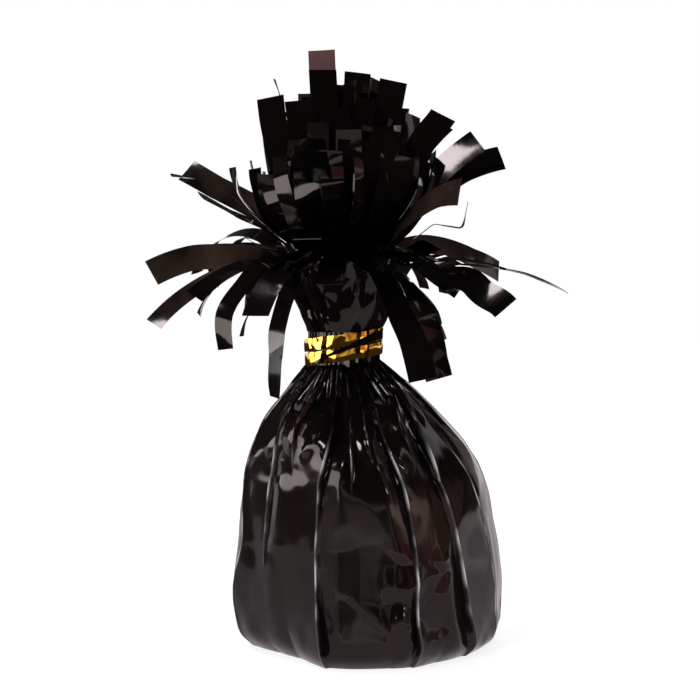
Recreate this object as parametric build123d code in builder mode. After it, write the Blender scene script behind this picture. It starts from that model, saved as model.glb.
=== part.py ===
from build123d import *
import math
import os
from collections import namedtuple

os.makedirs("parts", exist_ok=True)

# A balloon weight: a bag of sand wrapped in one sheet of shiny black film. The sheet is gathered
# above the sand, tied with two turns of gold ribbon, and slit into strips above the tie.
# Millimetres, +Z up, the origin in the middle of the flat base. The gathered neck stands a little
# to the left, on -X.

# Film and fits
FILM = 0.3
BAG_FILM = 0.25
SEAT_GAP = 0.3
SAND_GAP = 0.15

# The wrapped body, from the base up: each level's rise above the one below, the offset of its
# middle along X and the depth of its pleats. The belly is widest, and each other level of the body
# steps in from the one nearer to it. Radii are over the pleats.
BASE_OFFSET = 0.4
BASE_STEP = 2.6
BASE_PLEAT = 0.5
FOOT_RISE = 2.4
FOOT_OFFSET = 0.6
FOOT_STEP = 1.4
FOOT_PLEAT = 0.8
BELLY_RISE = 7.1
BELLY_OFFSET = 0.1
BELLY_RADIUS = 30.6
BELLY_PLEAT = 1.4
WAIST_RISE = 14.5
WAIST_OFFSET = -0.4
WAIST_STEP = 1.2
WAIST_PLEAT = 1.8
CHEST_RISE = 14.0
CHEST_OFFSET = -1.5
CHEST_STEP = 3.0
CHEST_PLEAT = 2.4
SHOULDER_RISE = 12.0
SHOULDER_OFFSET = -3.8
SHOULDER_STEP = 6.6
SHOULDER_PLEAT = 2.8
NECK_RISE = 12.4
NECK_OFFSET = -5.5
NECK_RADIUS = 8.3
NECK_PLEAT = 1.0

# Azimuths run in degrees from +X towards +Y, with the front at -90 and the back at 90
BACK = 90
QUARTER = 90
FULL_TURN = 360
PLEAT_RIDGES = (-167, -145, -116, -92, -70, -45, -18, 8, 34, 60, 88, 116, 140, 166)

# The sand and its pouch: the sand's level lies below the shoulder, the pouch closes above it
FILL_DROP = 6.0
POUCH_RISE = 6.0
POUCH_TOP_RADIUS = 8.0
POUCH_SEAL_WIDTH = 14.0
POUCH_SEAL_HEIGHT = 5.0
POUCH_SEAL_THICKNESS = 0.8

# The gold tie round the neck
TIE_WIDTH = 2.5
TIE_THICKNESS = 0.3
TIE_PITCH = 3.1
TIE_TURNS = 2
TWIST_WIDTH = 1.8
TWIST_THICKNESS = 0.9
TWIST_LENGTH = 11.0
TWIST_STEPS = 12
TWIST_STEP_TURN = 45

# The sliver of film that crosses the front of the tie
SLIVER_TAIL_WIDTH = 0.6
SLIVER_ROOT_WIDTH = 2.2
SLIVER_TAIL_AZIMUTH = -132
SLIVER_ROOT_AZIMUTH = -22
SLIVER_SPANS = 6

# The gathered film above the tie: four layers, each a cone with its rim at a root ring. The hem
# is the outermost. Each layer's rim rises from the one outside it, and steps out from the one
# inside it.
NECK_LENGTH = 7.4
FOLD_DEPTH = 0.9
CONE_GAP = 1.3
HEM_RISE = 14.9
HEM_STEP = 3.0
MIDDLE_RISE = 2.5
MIDDLE_STEP = 3.5
INNER_RISE = 2.0
INNER_STEP = 2.9
CORE_RISE = 1.4
CORE_RADIUS = 5.8

# The strips that the film is slit into, and the rings that their roots stand on
SLIT_LENGTH = 40.0
STRIP_WIDTH = 6.0
SLIM_WIDTH = 4.0
THREAD_WIDTH = 2.5
STRIP_SPANS = 4
UNDER_DROP = 3.2
LEDGE_DROP = 0.6
LINING_DROP = 1.0
STRIP_GAP = 0.45
CROWN_GAP = 0.8
HEART_RADIUS = 2.0

# Heights above the base, each from the rises below it
FOOT_HEIGHT = FOOT_RISE
BELLY_HEIGHT = FOOT_HEIGHT + BELLY_RISE
WAIST_HEIGHT = BELLY_HEIGHT + WAIST_RISE
CHEST_HEIGHT = WAIST_HEIGHT + CHEST_RISE
SHOULDER_HEIGHT = CHEST_HEIGHT + SHOULDER_RISE
NECK_HEIGHT = SHOULDER_HEIGHT + NECK_RISE
FILL_HEIGHT = SHOULDER_HEIGHT - FILL_DROP
POUCH_TOP = FILL_HEIGHT + POUCH_RISE
COLLAR_FOOT = NECK_HEIGHT + NECK_LENGTH
HEM_HEIGHT = COLLAR_FOOT + HEM_RISE
MIDDLE_HEIGHT = HEM_HEIGHT + MIDDLE_RISE
INNER_HEIGHT = MIDDLE_HEIGHT + INNER_RISE
CORE_HEIGHT = INNER_HEIGHT + CORE_RISE

# Radii of the body's levels and of the collar's rims
FOOT_RADIUS = BELLY_RADIUS - FOOT_STEP
BASE_RADIUS = FOOT_RADIUS - BASE_STEP
WAIST_RADIUS = BELLY_RADIUS - WAIST_STEP
CHEST_RADIUS = WAIST_RADIUS - CHEST_STEP
SHOULDER_RADIUS = CHEST_RADIUS - SHOULDER_STEP
INNER_RADIUS = CORE_RADIUS + INNER_STEP
MIDDLE_RADIUS = INNER_RADIUS + MIDDLE_STEP
HEM_RADIUS = MIDDLE_RADIUS + HEM_STEP

# Shared levels of the outline
Level = namedtuple("Level", "height offset radius pleat")
BODY = (
    Level(0, BASE_OFFSET, BASE_RADIUS, BASE_PLEAT),
    Level(FOOT_HEIGHT, FOOT_OFFSET, FOOT_RADIUS, FOOT_PLEAT),
    Level(BELLY_HEIGHT, BELLY_OFFSET, BELLY_RADIUS, BELLY_PLEAT),
    Level(WAIST_HEIGHT, WAIST_OFFSET, WAIST_RADIUS, WAIST_PLEAT),
    Level(CHEST_HEIGHT, CHEST_OFFSET, CHEST_RADIUS, CHEST_PLEAT),
    Level(SHOULDER_HEIGHT, SHOULDER_OFFSET, SHOULDER_RADIUS, SHOULDER_PLEAT),
    Level(NECK_HEIGHT, NECK_OFFSET, NECK_RADIUS, NECK_PLEAT),
)


def write(part, name):
    """Labels a finished piece and writes it to its own file."""
    part.label = name
    export_step(part, f"parts/{name}.step")


def level_at(height):
    """The body's level at any height, between the two levels around it."""
    for low, high in zip(BODY, BODY[1:]):
        if height <= high.height:
            break
    share = (height - low.height) / (high.height - low.height)
    return Level(height, *(a + (b - a) * share for a, b in zip(low[1:], high[1:])))


def pleated_ring(radius, pleat):
    """Corners of a pleated ring: a ridge at each azimuth and a valley half way to the next one."""
    corners = []
    following = PLEAT_RIDGES[1:] + (PLEAT_RIDGES[0] + FULL_TURN,)
    for ridge, ridge_after in zip(PLEAT_RIDGES, following):
        for azimuth, reach in ((ridge, radius), ((ridge + ridge_after) / 2, radius - pleat)):
            angle = math.radians(azimuth)
            corners.append((reach * math.cos(angle), reach * math.sin(angle)))
    return corners


def pleated_section(height, offset, radius, pleat):
    """A pleated ring as a sketch at a height, its middle moved along X."""
    with BuildSketch(Plane.XY.offset(height)) as section:
        with Locations((offset, 0)):
            Polygon(*pleated_ring(radius, pleat), align=None)
    return section.sketch


def round_section(height, offset, radius):
    """A disc as a sketch at a height, its middle moved along X."""
    with BuildSketch(Plane.XY.offset(height)) as section:
        with Locations((offset, 0)):
            Circle(radius)
    return section.sketch


# The sheet's lower part: pleated walls and a flat base round the pouch, open into the neck
with BuildPart() as foil_skirt:
    loft([pleated_section(*level) for level in BODY])
    inside = [level._replace(radius=level.radius - FILM) for level in BODY]
    loft([pleated_section(*level) for level in inside], mode=Mode.SUBTRACT)
    add(pleated_section(*BODY[0]))
    extrude(amount=FILM)
write(foil_skirt.part, "foil_skirt")

# The pouch of thin clear film fills the skirt up to the sand's level and closes in a flat seal
POUCH_INSET = FILM + SEAT_GAP
SAND_INSET = POUCH_INSET + BAG_FILM + SAND_GAP
pouch_levels = [level for level in BODY[1:] if level.height < FILL_HEIGHT]
pouch_levels.append(level_at(FILL_HEIGHT))
pouch_top = level_at(POUCH_TOP)


def fill_loft(inset, mode=Mode.ADD):
    """Lofts a round filling, set in from the skirt's valleys and drawn in to a small crown."""
    sections = [round_section(inset, BASE_OFFSET, BASE_RADIUS - BASE_PLEAT - inset)]
    for level in pouch_levels:
        sections.append(round_section(level.height, level.offset, level.radius - level.pleat - inset))
    crown_drop = inset - POUCH_INSET
    sections.append(round_section(POUCH_TOP - crown_drop, pouch_top.offset, POUCH_TOP_RADIUS - crown_drop))
    loft(sections, ruled=True, mode=mode)


with BuildPart() as sand_bag:
    fill_loft(POUCH_INSET)
    fill_loft(POUCH_INSET + BAG_FILM, Mode.SUBTRACT)
    with BuildSketch(Plane.XY.offset(POUCH_TOP)):
        with Locations((pouch_top.offset, 0)):
            Rectangle(POUCH_SEAL_WIDTH, POUCH_SEAL_THICKNESS)
    extrude(amount=POUCH_SEAL_HEIGHT)
write(sand_bag.part, "sand_bag")

with BuildPart() as sand_fill:
    fill_loft(SAND_INSET)
write(sand_fill.part, "sand_fill")

# The gathered neck that the tie holds, a packed bundle of folds
with BuildPart() as foil_neck:
    add(pleated_section(NECK_HEIGHT, NECK_OFFSET, NECK_RADIUS, NECK_PLEAT))
    extrude(amount=NECK_LENGTH)
write(foil_neck.part, "foil_neck")


def ring_point(azimuth, radius, height):
    """A point on a ring round the neck's axis."""
    return Vector(NECK_OFFSET, 0, height) + Vector(radius, 0, 0).rotate(Axis.Z, azimuth)


# The gold tie: one flat ribbon wound round the neck from back to back, on two arcs a quarter turn
TIE_RADIUS = NECK_RADIUS + SEAT_GAP + TIE_THICKNESS / 2
TIE_START = BACK
tie_rise = (NECK_LENGTH - TIE_TURNS * TIE_PITCH) / 2


def tie_point(azimuth):
    """A point on the ribbon's middle line, a pitch higher with each turn."""
    height = NECK_HEIGHT + tie_rise + TIE_PITCH * (azimuth - TIE_START) / FULL_TURN
    return ring_point(azimuth, TIE_RADIUS, height)


def tie_heading(azimuth):
    """The direction in which the ribbon runs at an azimuth."""
    climb = TIE_PITCH / (2 * math.pi)
    return Vector(0, TIE_RADIUS, climb).rotate(Axis.Z, azimuth).normalized()


def quarter_turn(azimuth):
    """Two arcs that run on into each other, from an azimuth to a quarter turn further."""
    first, last = tie_point(azimuth), tie_point(azimuth + QUARTER)
    leaving, arriving = tie_heading(azimuth), tie_heading(azimuth + QUARTER)
    chord = last - first
    spread = 2 * (1 - leaving.dot(arriving))
    along = chord.dot(leaving + arriving)
    arm = (math.sqrt(along**2 + spread * chord.dot(chord)) - along) / spread
    middle = (first + leaving * arm + last - arriving * arm) * 0.5
    heading = (last - arriving * arm - first - leaving * arm).normalized()
    TangentArc(first, middle, tangent=leaving)
    TangentArc(middle, last, tangent=heading)


with BuildPart() as gold_tie:
    with BuildLine() as tie_path:
        for azimuth in range(TIE_START, TIE_START + TIE_TURNS * FULL_TURN, QUARTER):
            quarter_turn(azimuth)
    tie_upright = tie_path.wire().moved(Location((0, 0, TIE_WIDTH)))
    with BuildSketch(Plane(tie_point(TIE_START), x_dir=(0, 1, 0), z_dir=tie_heading(TIE_START))):
        Rectangle(TIE_THICKNESS, TIE_WIDTH)
    sweep(path=tie_path.wire(), binormal=tie_upright)
write(gold_tie.part, "gold_tie")

# Least distance between the edges of one turn of the ribbon and the next, on points along it
turn_gap = min(
    (tie_point(azimuth + FULL_TURN) - tie_point(azimuth)).length - TIE_WIDTH
    for azimuth in range(TIE_START, TIE_START + (TIE_TURNS - 1) * FULL_TURN)
)
print(f"least gap between the tie's turns {turn_gap:.2f} mm")

# The tie's two ends, twisted together behind the neck
with BuildPart() as tie_twist:
    twist_foot = TIE_RADIUS + TIE_THICKNESS / 2 + SEAT_GAP
    twist_height = NECK_HEIGHT + NECK_LENGTH / 2
    for step in range(TWIST_STEPS + 1):
        station = ring_point(BACK, twist_foot + TWIST_LENGTH * step / TWIST_STEPS, twist_height)
        across = Vector(1, 0, 0).rotate(Axis.Y, TWIST_STEP_TURN * step)
        with BuildSketch(Plane(station, x_dir=across, z_dir=(0, 1, 0))):
            Rectangle(TWIST_WIDTH, TWIST_THICKNESS)
    loft(ruled=True)
write(tie_twist.part, "tie_twist")

# A stray sliver of film that crosses the front of the tie, wider towards its root on the right
SLIVER_RADIUS = TIE_RADIUS + TIE_THICKNESS / 2 + SEAT_GAP + FILM / 2
with BuildPart() as stray_sliver:
    for span in range(SLIVER_SPANS + 1):
        share = span / SLIVER_SPANS
        azimuth = SLIVER_TAIL_AZIMUTH + (SLIVER_ROOT_AZIMUTH - SLIVER_TAIL_AZIMUTH) * share
        station = ring_point(azimuth, SLIVER_RADIUS, NECK_HEIGHT + NECK_LENGTH / 2 * share)
        along = Vector(0, 1, 0).rotate(Axis.Z, azimuth)
        with BuildSketch(Plane(station, x_dir=(0, 0, 1), z_dir=along)):
            Rectangle(SLIVER_TAIL_WIDTH + (SLIVER_ROOT_WIDTH - SLIVER_TAIL_WIDTH) * share, FILM)
    loft()
write(stray_sliver.part, "stray_sliver")


# The layers of gathered film above the tie, nested cones that stand on the neck
def gathered_cone(foot_radius, rim_radius, rim_height):
    """Lofts a pleated cone that flares up to its rim, and hollows it to a wall of film."""
    for wall, mode in ((0, Mode.ADD), (FILM, Mode.SUBTRACT)):
        foot = pleated_section(COLLAR_FOOT, NECK_OFFSET, foot_radius - wall, FOLD_DEPTH)
        rim = pleated_section(rim_height, NECK_OFFSET, rim_radius - wall, FOLD_DEPTH)
        loft([foot, rim], ruled=True, mode=mode)


HEM_FOOT = NECK_RADIUS
MIDDLE_FOOT = HEM_FOOT - FILM - CONE_GAP
INNER_FOOT = MIDDLE_FOOT - FILM - CONE_GAP
CORE_FOOT = INNER_FOOT - FILM - CONE_GAP

with BuildPart() as collar_hem:
    gathered_cone(HEM_FOOT, HEM_RADIUS, HEM_HEIGHT)
write(collar_hem.part, "collar_hem")

with BuildPart() as collar_middle:
    gathered_cone(MIDDLE_FOOT, MIDDLE_RADIUS, MIDDLE_HEIGHT)
write(collar_middle.part, "collar_middle")

with BuildPart() as collar_inner:
    gathered_cone(INNER_FOOT, INNER_RADIUS, INNER_HEIGHT)
write(collar_inner.part, "collar_inner")

with BuildPart() as collar_core:
    core_foot = round_section(COLLAR_FOOT, NECK_OFFSET, CORE_FOOT)
    core_rim = round_section(CORE_HEIGHT, NECK_OFFSET, CORE_RADIUS)
    loft([core_foot, core_rim])
write(collar_core.part, "collar_core")

# The rings of strip roots: each lies just clear of a cone's rim, or of its wall below the rim, and
# the crown's are a little higher, so that the crown can sway
Ring = namedtuple("Ring", "radius height")


def wall_ring(foot_radius, rim_radius, rim_height, drop):
    """A ring of roots on the outside of a cone's wall, some way below its rim."""
    flare = (rim_radius - foot_radius) / (rim_height - COLLAR_FOOT)
    return Ring(rim_radius - drop * flare + STRIP_GAP + FILM, rim_height - drop)


UNDER = wall_ring(HEM_FOOT, HEM_RADIUS, HEM_HEIGHT, UNDER_DROP)
LEDGE = wall_ring(MIDDLE_FOOT, MIDDLE_RADIUS, MIDDLE_HEIGHT, LEDGE_DROP)
LINING = wall_ring(INNER_FOOT, INNER_RADIUS, INNER_HEIGHT, LINING_DROP)
HEM = Ring(HEM_RADIUS + STRIP_GAP, HEM_HEIGHT + STRIP_GAP)
MIDDLE = Ring(MIDDLE_RADIUS + STRIP_GAP, MIDDLE_HEIGHT + STRIP_GAP)
INNER = Ring(INNER_RADIUS + STRIP_GAP, INNER_HEIGHT + STRIP_GAP)
CREST = Ring(INNER_RADIUS + STRIP_GAP, INNER_HEIGHT + CROWN_GAP)
CORE = Ring(CORE_RADIUS - STRIP_GAP, CORE_HEIGHT + CROWN_GAP)
HEART = Ring(HEART_RADIUS, CORE_HEIGHT + CROWN_GAP)

# Each strip leaves its ring at an azimuth and a launch angle above the horizon and bends evenly to
# its tip angle. Its face turns about its length from root to tip: at 0 its width is level, along
# the ring. Its length is a share of the slits'. Angles are in degrees.
Strip = namedtuple("Strip", "ring azimuth launch tip face_root face_tip share width")
OUTER_STRIPS = {
    "right_long": Strip(HEM, -4, 0, -28, 0, 5, 0.88, STRIP_WIDTH),
    "right_broad": Strip(HEM, -27, -14, -42, 15, 75, 0.66, STRIP_WIDTH),
    "right_arched": Strip(MIDDLE, 25, 18, -30, 40, 60, 0.72, STRIP_WIDTH),
    "right_high": Strip(INNER, 10, 56, 12, 65, 65, 0.86, STRIP_WIDTH),
    "right_front": Strip(MIDDLE, -47, 50, 0, 50, 70, 0.66, STRIP_WIDTH),
    "right_hooked": Strip(MIDDLE, 0, 22, 72, 0, 0, 0.54, THREAD_WIDTH),
    "right_hanging": Strip(UNDER, -26, -52, -80, 0, 60, 0.68, STRIP_WIDTH),
    "right_back": Strip(HEM, 47, 26, -75, 10, 30, 0.60, STRIP_WIDTH),
    "right_short": Strip(UNDER, 4, -44, -84, 0, 60, 0.32, SLIM_WIDTH),
    "right_lifted": Strip(INNER, -30, 66, 52, -50, -50, 0.78, STRIP_WIDTH),
    "right_raised": Strip(INNER, 50, 58, 32, 40, 40, 1.04, STRIP_WIDTH),
    "front_hanging": Strip(UNDER, -54, -46, -72, 0, 40, 0.66, STRIP_WIDTH),
    "front_right": Strip(MIDDLE, -70, 66, 50, -20, -20, 0.70, STRIP_WIDTH),
    "front_left": Strip(MIDDLE, -104, 66, 40, 0, 0, 0.60, STRIP_WIDTH),
    "front_bowed": Strip(HEM, -118, 0, -58, -5, -5, 0.66, STRIP_WIDTH),
    "left_hanging": Strip(UNDER, -138, -60, -96, 0, 20, 0.70, STRIP_WIDTH),
    "left_bowed": Strip(HEM, -139, 0, -100, -25, -20, 0.74, SLIM_WIDTH),
    "left_slant": Strip(HEM, -156, -2, -48, -20, -50, 0.81, SLIM_WIDTH),
    "left_short": Strip(MIDDLE, -152, 34, 24, -20, -20, 0.62, STRIP_WIDTH),
    "left_broad": Strip(HEM, -174, 14, -28, -60, -80, 0.69, STRIP_WIDTH),
    "left_edge": Strip(MIDDLE, 179, 54, 6, 0, 0, 0.80, STRIP_WIDTH),
    "left_tucked": Strip(HEM, 168, 8, -72, -20, -30, 0.60, SLIM_WIDTH),
    "left_high": Strip(INNER, 154, 33, 27, -60, -60, 0.92, STRIP_WIDTH),
    "left_arched": Strip(HEM, 147, 60, -68, -15, -15, 0.82, STRIP_WIDTH),
    "back_left": Strip(HEM, 122, 30, -24, 0, 0, 0.75, STRIP_WIDTH),
    "back_rise_left": Strip(MIDDLE, 116, 56, 26, 0, 0, 0.80, STRIP_WIDTH),
    "back_middle": Strip(HEM, 97, 26, -28, 0, 0, 0.75, STRIP_WIDTH),
    "back_rise_right": Strip(MIDDLE, 84, 56, 26, 0, 0, 0.80, STRIP_WIDTH),
    "back_right": Strip(HEM, 72, 30, -24, 0, 0, 0.75, STRIP_WIDTH),
}
# Shorter strips that stand beside some of these and bend with them
BESIDE_STRIPS = {
    "right_broad": Strip(HEM, -46, 16, -30, 0, 10, 0.44, STRIP_WIDTH),
    "right_short": Strip(UNDER, 36, -30, -70, 0, 0, 0.50, STRIP_WIDTH),
    "front_right": Strip(LEDGE, -70, 22, -22, -20, -5, 0.46, STRIP_WIDTH),
    "front_left": Strip(LEDGE, -104, 28, -12, 0, 0, 0.46, STRIP_WIDTH),
    "front_bowed": Strip(HEM, -95, 12, -44, 0, 6, 0.40, STRIP_WIDTH),
    "left_hanging": Strip(UNDER, -166, -40, -80, 0, 20, 0.40, SLIM_WIDTH),
    "left_short": Strip(MIDDLE, -128, 44, 92, 0, 0, 0.55, SLIM_WIDTH),
}
CROWN_STRIPS = (
    Strip(HEART, 150, 86, 84, -60, -60, 1.03, STRIP_WIDTH),
    Strip(CORE, -120, 85, 83, 30, 30, 0.89, STRIP_WIDTH),
    Strip(CORE, 70, 85, 82, 20, 20, 0.94, STRIP_WIDTH),
    Strip(CORE, -42, 80, 76, -48, -48, 0.85, STRIP_WIDTH),
    Strip(CREST, -65, 84, 80, -25, -25, 0.76, SLIM_WIDTH),
    Strip(CORE, 14, 84, 66, 0, 0, 0.75, STRIP_WIDTH),
    Strip(CREST, 31, 82, 76, 10, 10, 0.78, THREAD_WIDTH),
    Strip(CREST, -14, 78, 74, -75, -75, 0.60, STRIP_WIDTH),
    Strip(CREST, -158, 70, 84, 60, 60, 0.80, STRIP_WIDTH),
    Strip(CORE, 178, 80, 72, 0, 0, 0.90, STRIP_WIDTH),
    Strip(CREST, -130, 82, 78, 40, 40, 0.75, STRIP_WIDTH),
    Strip(CREST, 176, 70, 84, 84, 84, 0.60, STRIP_WIDTH),
    Strip(CREST, -96, 82, 78, 5, 5, 0.70, STRIP_WIDTH),
    Strip(CREST, 84, 74, 64, 0, 0, 0.85, STRIP_WIDTH),
    Strip(CREST, 124, 74, 64, 0, 0, 0.85, STRIP_WIDTH),
    Strip(LINING, -84, 64, 84, 0, 0, 0.60, STRIP_WIDTH),
    Strip(HEART, -30, 86, 84, 0, 0, 0.86, STRIP_WIDTH),
    Strip(LINING, 104, 60, 84, 0, 0, 0.55, SLIM_WIDTH),
    Strip(CORE, -82, 84, 85, 0, 0, 0.80, THREAD_WIDTH),
    Strip(CORE, 120, 84, 82, 0, 0, 0.86, THREAD_WIDTH),
)


def strip_section(strip, share):
    """A cross-section of a strip as a sketch, at a share of its length from the root."""
    outward = Vector(1, 0, 0).rotate(Axis.Z, strip.azimuth)
    level = Vector(0, 1, 0).rotate(Axis.Z, strip.azimuth)
    launch = math.radians(strip.launch)
    bend = math.radians(strip.tip) - launch
    angle = launch + bend * share
    length = SLIT_LENGTH * strip.share
    reach = length / bend * (math.sin(angle) - math.sin(launch))
    rise = length / bend * (math.cos(launch) - math.cos(angle))
    root = ring_point(strip.azimuth, *strip.ring)
    heading = outward * math.cos(angle) + Vector(0, 0, math.sin(angle))
    above = Vector(0, 0, math.cos(angle)) - outward * math.sin(angle)
    face = math.radians(strip.face_root + (strip.face_tip - strip.face_root) * share)
    across = level * math.cos(face) + above * math.sin(face)
    middle = root + outward * reach + Vector(0, 0, rise)
    with BuildSketch(Plane(middle, x_dir=across, z_dir=heading)) as section:
        Rectangle(strip.width, FILM)
    return section.sketch


def strip_sections(strip):
    """The cross-sections of a strip from its root to its tip."""
    return [strip_section(strip, span / STRIP_SPANS) for span in range(STRIP_SPANS + 1)]


for name, strip in OUTER_STRIPS.items():
    with BuildPart() as outer_strip:
        loft(strip_sections(strip))
        if name in BESIDE_STRIPS:
            loft(strip_sections(BESIDE_STRIPS[name]))
    write(outer_strip.part, f"strip_{name}")

with BuildPart() as crown_strips:
    for strip in CROWN_STRIPS:
        loft(strip_sections(strip))
write(crown_strips.part, "crown_strips")
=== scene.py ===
"""Looks of a balloon weight: a sand pouch wrapped in shiny black film, tied with gold ribbon, with a
fringe of film strips. Lengths in the tables are millimetres, and the scene is in metres."""
import math
import random
from collections import namedtuple

import bpy
import numpy as np
from bpy.props import FloatProperty, FloatVectorProperty, PointerProperty
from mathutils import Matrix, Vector
from mathutils.geometry import delaunay_2d_cdt


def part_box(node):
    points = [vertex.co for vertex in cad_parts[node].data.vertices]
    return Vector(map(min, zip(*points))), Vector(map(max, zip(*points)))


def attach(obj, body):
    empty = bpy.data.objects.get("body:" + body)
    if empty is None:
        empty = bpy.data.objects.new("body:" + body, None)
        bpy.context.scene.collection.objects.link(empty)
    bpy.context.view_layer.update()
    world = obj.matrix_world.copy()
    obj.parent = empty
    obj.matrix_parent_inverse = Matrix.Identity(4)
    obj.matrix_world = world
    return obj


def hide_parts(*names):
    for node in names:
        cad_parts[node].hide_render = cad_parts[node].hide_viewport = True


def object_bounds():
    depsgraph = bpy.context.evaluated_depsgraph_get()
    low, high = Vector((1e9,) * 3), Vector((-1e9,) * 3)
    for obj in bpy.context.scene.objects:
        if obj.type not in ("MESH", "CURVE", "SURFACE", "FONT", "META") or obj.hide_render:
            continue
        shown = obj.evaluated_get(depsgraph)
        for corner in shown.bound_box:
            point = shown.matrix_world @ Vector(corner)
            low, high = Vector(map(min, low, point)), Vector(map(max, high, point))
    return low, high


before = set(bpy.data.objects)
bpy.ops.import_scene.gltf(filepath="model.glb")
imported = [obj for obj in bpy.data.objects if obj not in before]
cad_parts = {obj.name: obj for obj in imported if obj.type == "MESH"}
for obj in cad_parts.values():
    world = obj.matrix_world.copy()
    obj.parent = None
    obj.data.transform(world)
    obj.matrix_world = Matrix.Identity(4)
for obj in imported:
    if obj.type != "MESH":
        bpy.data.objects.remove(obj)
CAD_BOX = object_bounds()

bl_info = {
    "name": "Balloon Weight",
    "version": (1, 0, 0),
    "blender": (4, 5, 0),
    "location": "View3D > Sidebar > Balloon Weight",
    "description": "Dresses the balloon weight in creased film, ribbon and a slit fringe",
    "category": "Object",
}

MM = 0.001
# Point attribute that holds the painted highlight along the skirt's folds
PAINTED_HIGHLIGHT = "rub"
FULL_TURN = 360.0
TINY = 1e-6
BODY_NAME = "wrapped_weight"

# The wrapped body, from the base up: height, offset along X and radius over the folds
Level = namedtuple("Level", "height offset radius")
BODY = (
    Level(0.0, 0.4, 26.8),
    Level(2.4, 0.6, 29.4),
    Level(9.5, 0.1, 30.8),
    Level(24.0, -0.4, 29.6),
    Level(38.0, -1.5, 26.8),
    Level(50.0, -3.8, 20.2),
    Level(62.4, -5.5, 8.4),
)
BODY_RUN = np.concatenate([[0], np.cumsum([math.hypot(b.height - a.height, b.radius - a.radius)
                                           for a, b in zip(BODY, BODY[1:])])])
NECK_OFFSET = -5.5
NECK_RADIUS = 8.3
NECK_FOOT = 62.4
NECK_TOP = 69.8
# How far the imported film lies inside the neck's radius, the depth and level of its pleats, and how far
# it reaches below the neck's foot and above its top
NECK_INSET, NECK_PLEAT, NECK_LEVEL = 0.25, 0.35, 0.5
LAP_BELOW, LAP_ABOVE = 0.6, 0.4

# Folds down the body, in order round it: their azimuths at six heights, the depth and width of the
# groove beside each, the side that it lies on (1 towards higher azimuths), the height where the fold
# ends (a LONG one runs the whole way down) and how far its foot stands out
FOLD_HEIGHTS = (0.0, 12.0, 24.0, 38.0, 50.0, 62.0)
Fold = namedtuple("Fold", "azimuths depth width side end foot")
LONG = -20.0
FOLDS = (
    Fold((-164, -161, -158, -164, -164, -160), 0.9, 4.0, -1, LONG, 0.0),
    Fold((-143, -142, -143, -144, -138, -128), 0.6, 4.0, 1, 18, -0.4),
    Fold((-128, -128, -128, -128, -125, -113), 0.8, 4.0, 1, 37, -0.2),
    Fold((-109, -111, -112, -110, -101, -96), 1.7, 3.6, 1, LONG, 2.6),
    Fold((-95, -95, -95, -95, -91, -88), 1.0, 4.4, 1, 36, 2.6),
    Fold((-84, -84, -84, -84, -82, -78), 0.8, 3.0, -1, 43, 2.2),
    Fold((-72, -71, -70, -71, -74, -68), 1.8, 3.4, -1, LONG, 1.8),
    Fold((-60, -60, -60, -60, -60, -48), 0.8, 3.0, 1, 45, 0.6),
    Fold((-40, -46, -48, -51, -44, -30), 2.1, 4.2, -1, LONG, 0.0),
    Fold((-22, -25, -26, -30, -34, -20), 1.1, 3.4, 1, LONG, -0.4),
    Fold((-10, -10, -10, -10, -12, -10), 0.7, 3.6, -1, 42, 0.0),
    Fold((8, 6, 5, 6, 2, 0), 1.3, 3.4, 1, LONG, 0.0),
    Fold((20, 20, 20, 20, 18, 16), 0.7, 3.4, 1, 40, 0.0),
    Fold((32, 33, 35, 36, 34, 28), 1.4, 3.4, -1, LONG, 0.4),
    Fold((48, 48, 48, 48, 46, 44), 0.7, 3.4, -1, 43, 0.0),
    Fold((60, 62, 61, 59, 60, 58), 1.3, 3.6, 1, LONG, 0.0),
    Fold((74, 74, 74, 74, 74, 74), 0.7, 3.4, 1, 38, -0.6),
    Fold((90, 88, 87, 89, 88, 90), 1.6, 3.4, -1, LONG, 0.8),
    Fold((102, 102, 102, 102, 104, 104), 0.7, 3.4, -1, 44, 0.0),
    Fold((114, 117, 118, 116, 114, 118), 1.2, 3.8, 1, LONG, 0.0),
    Fold((128, 128, 128, 128, 130, 132), 0.7, 3.4, 1, 41, -0.6),
    Fold((141, 140, 139, 141, 144, 142), 1.4, 3.4, -1, LONG, 0.6),
    Fold((154, 154, 154, 154, 156, 156), 0.7, 3.4, -1, 42, 0.0),
    Fold((168, 167, 166, 164, 168, 170), 1.1, 3.6, 1, LONG, 0.0),
)
FOLD_FADE = 9.0
GROOVE_WALL = 0.6
BEAD_RISE = 0.14
BEAD_WIDTH = 0.20
# Half width of the painted highlight down each fold's ridge
PAINTED_HIGHLIGHT_WIDTH = 0.18
PANEL_FLATNESS = 0.8
COLUMN_CROWDING = 0.7
COLUMNS_PER_FOLD = 16
WALL_ROWS, BASE_ROWS = 110, 8

# Heights between which something on the skirt comes in or dies away
GROOVES_DEEPEN, GROOVES_CLOSE = (36, 48), (52, 62)
# The painted highlight along the folds comes in and dies away between these heights
PAINTED_HIGHLIGHT_STARTS, PAINTED_HIGHLIGHT_ENDS = (3, 9), (40, 50)
WAVES_START, WAVES_END = (1, 10), (52, 60)
SHOULDER_STARTS, SHOULDER_ENDS = (35, 44), (56, 62)
PLEATS_START, TILT_STARTS = (38, 48), (50, 62)
BASE_ENDS, RIM_ENDS, FOOT_ENDS = (0, 5), (5, 10), (0, 15)
# The crumpled corner at the lower front: azimuths of its two sides and heights of its top
CORNER_STARTS, CORNER_STOPS, CORNER_ENDS = (-88, -80), (-58, -50), (18, 27)
CORNER_DEPTH, RIM_DEPTH = 0.8, 0.3

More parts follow.
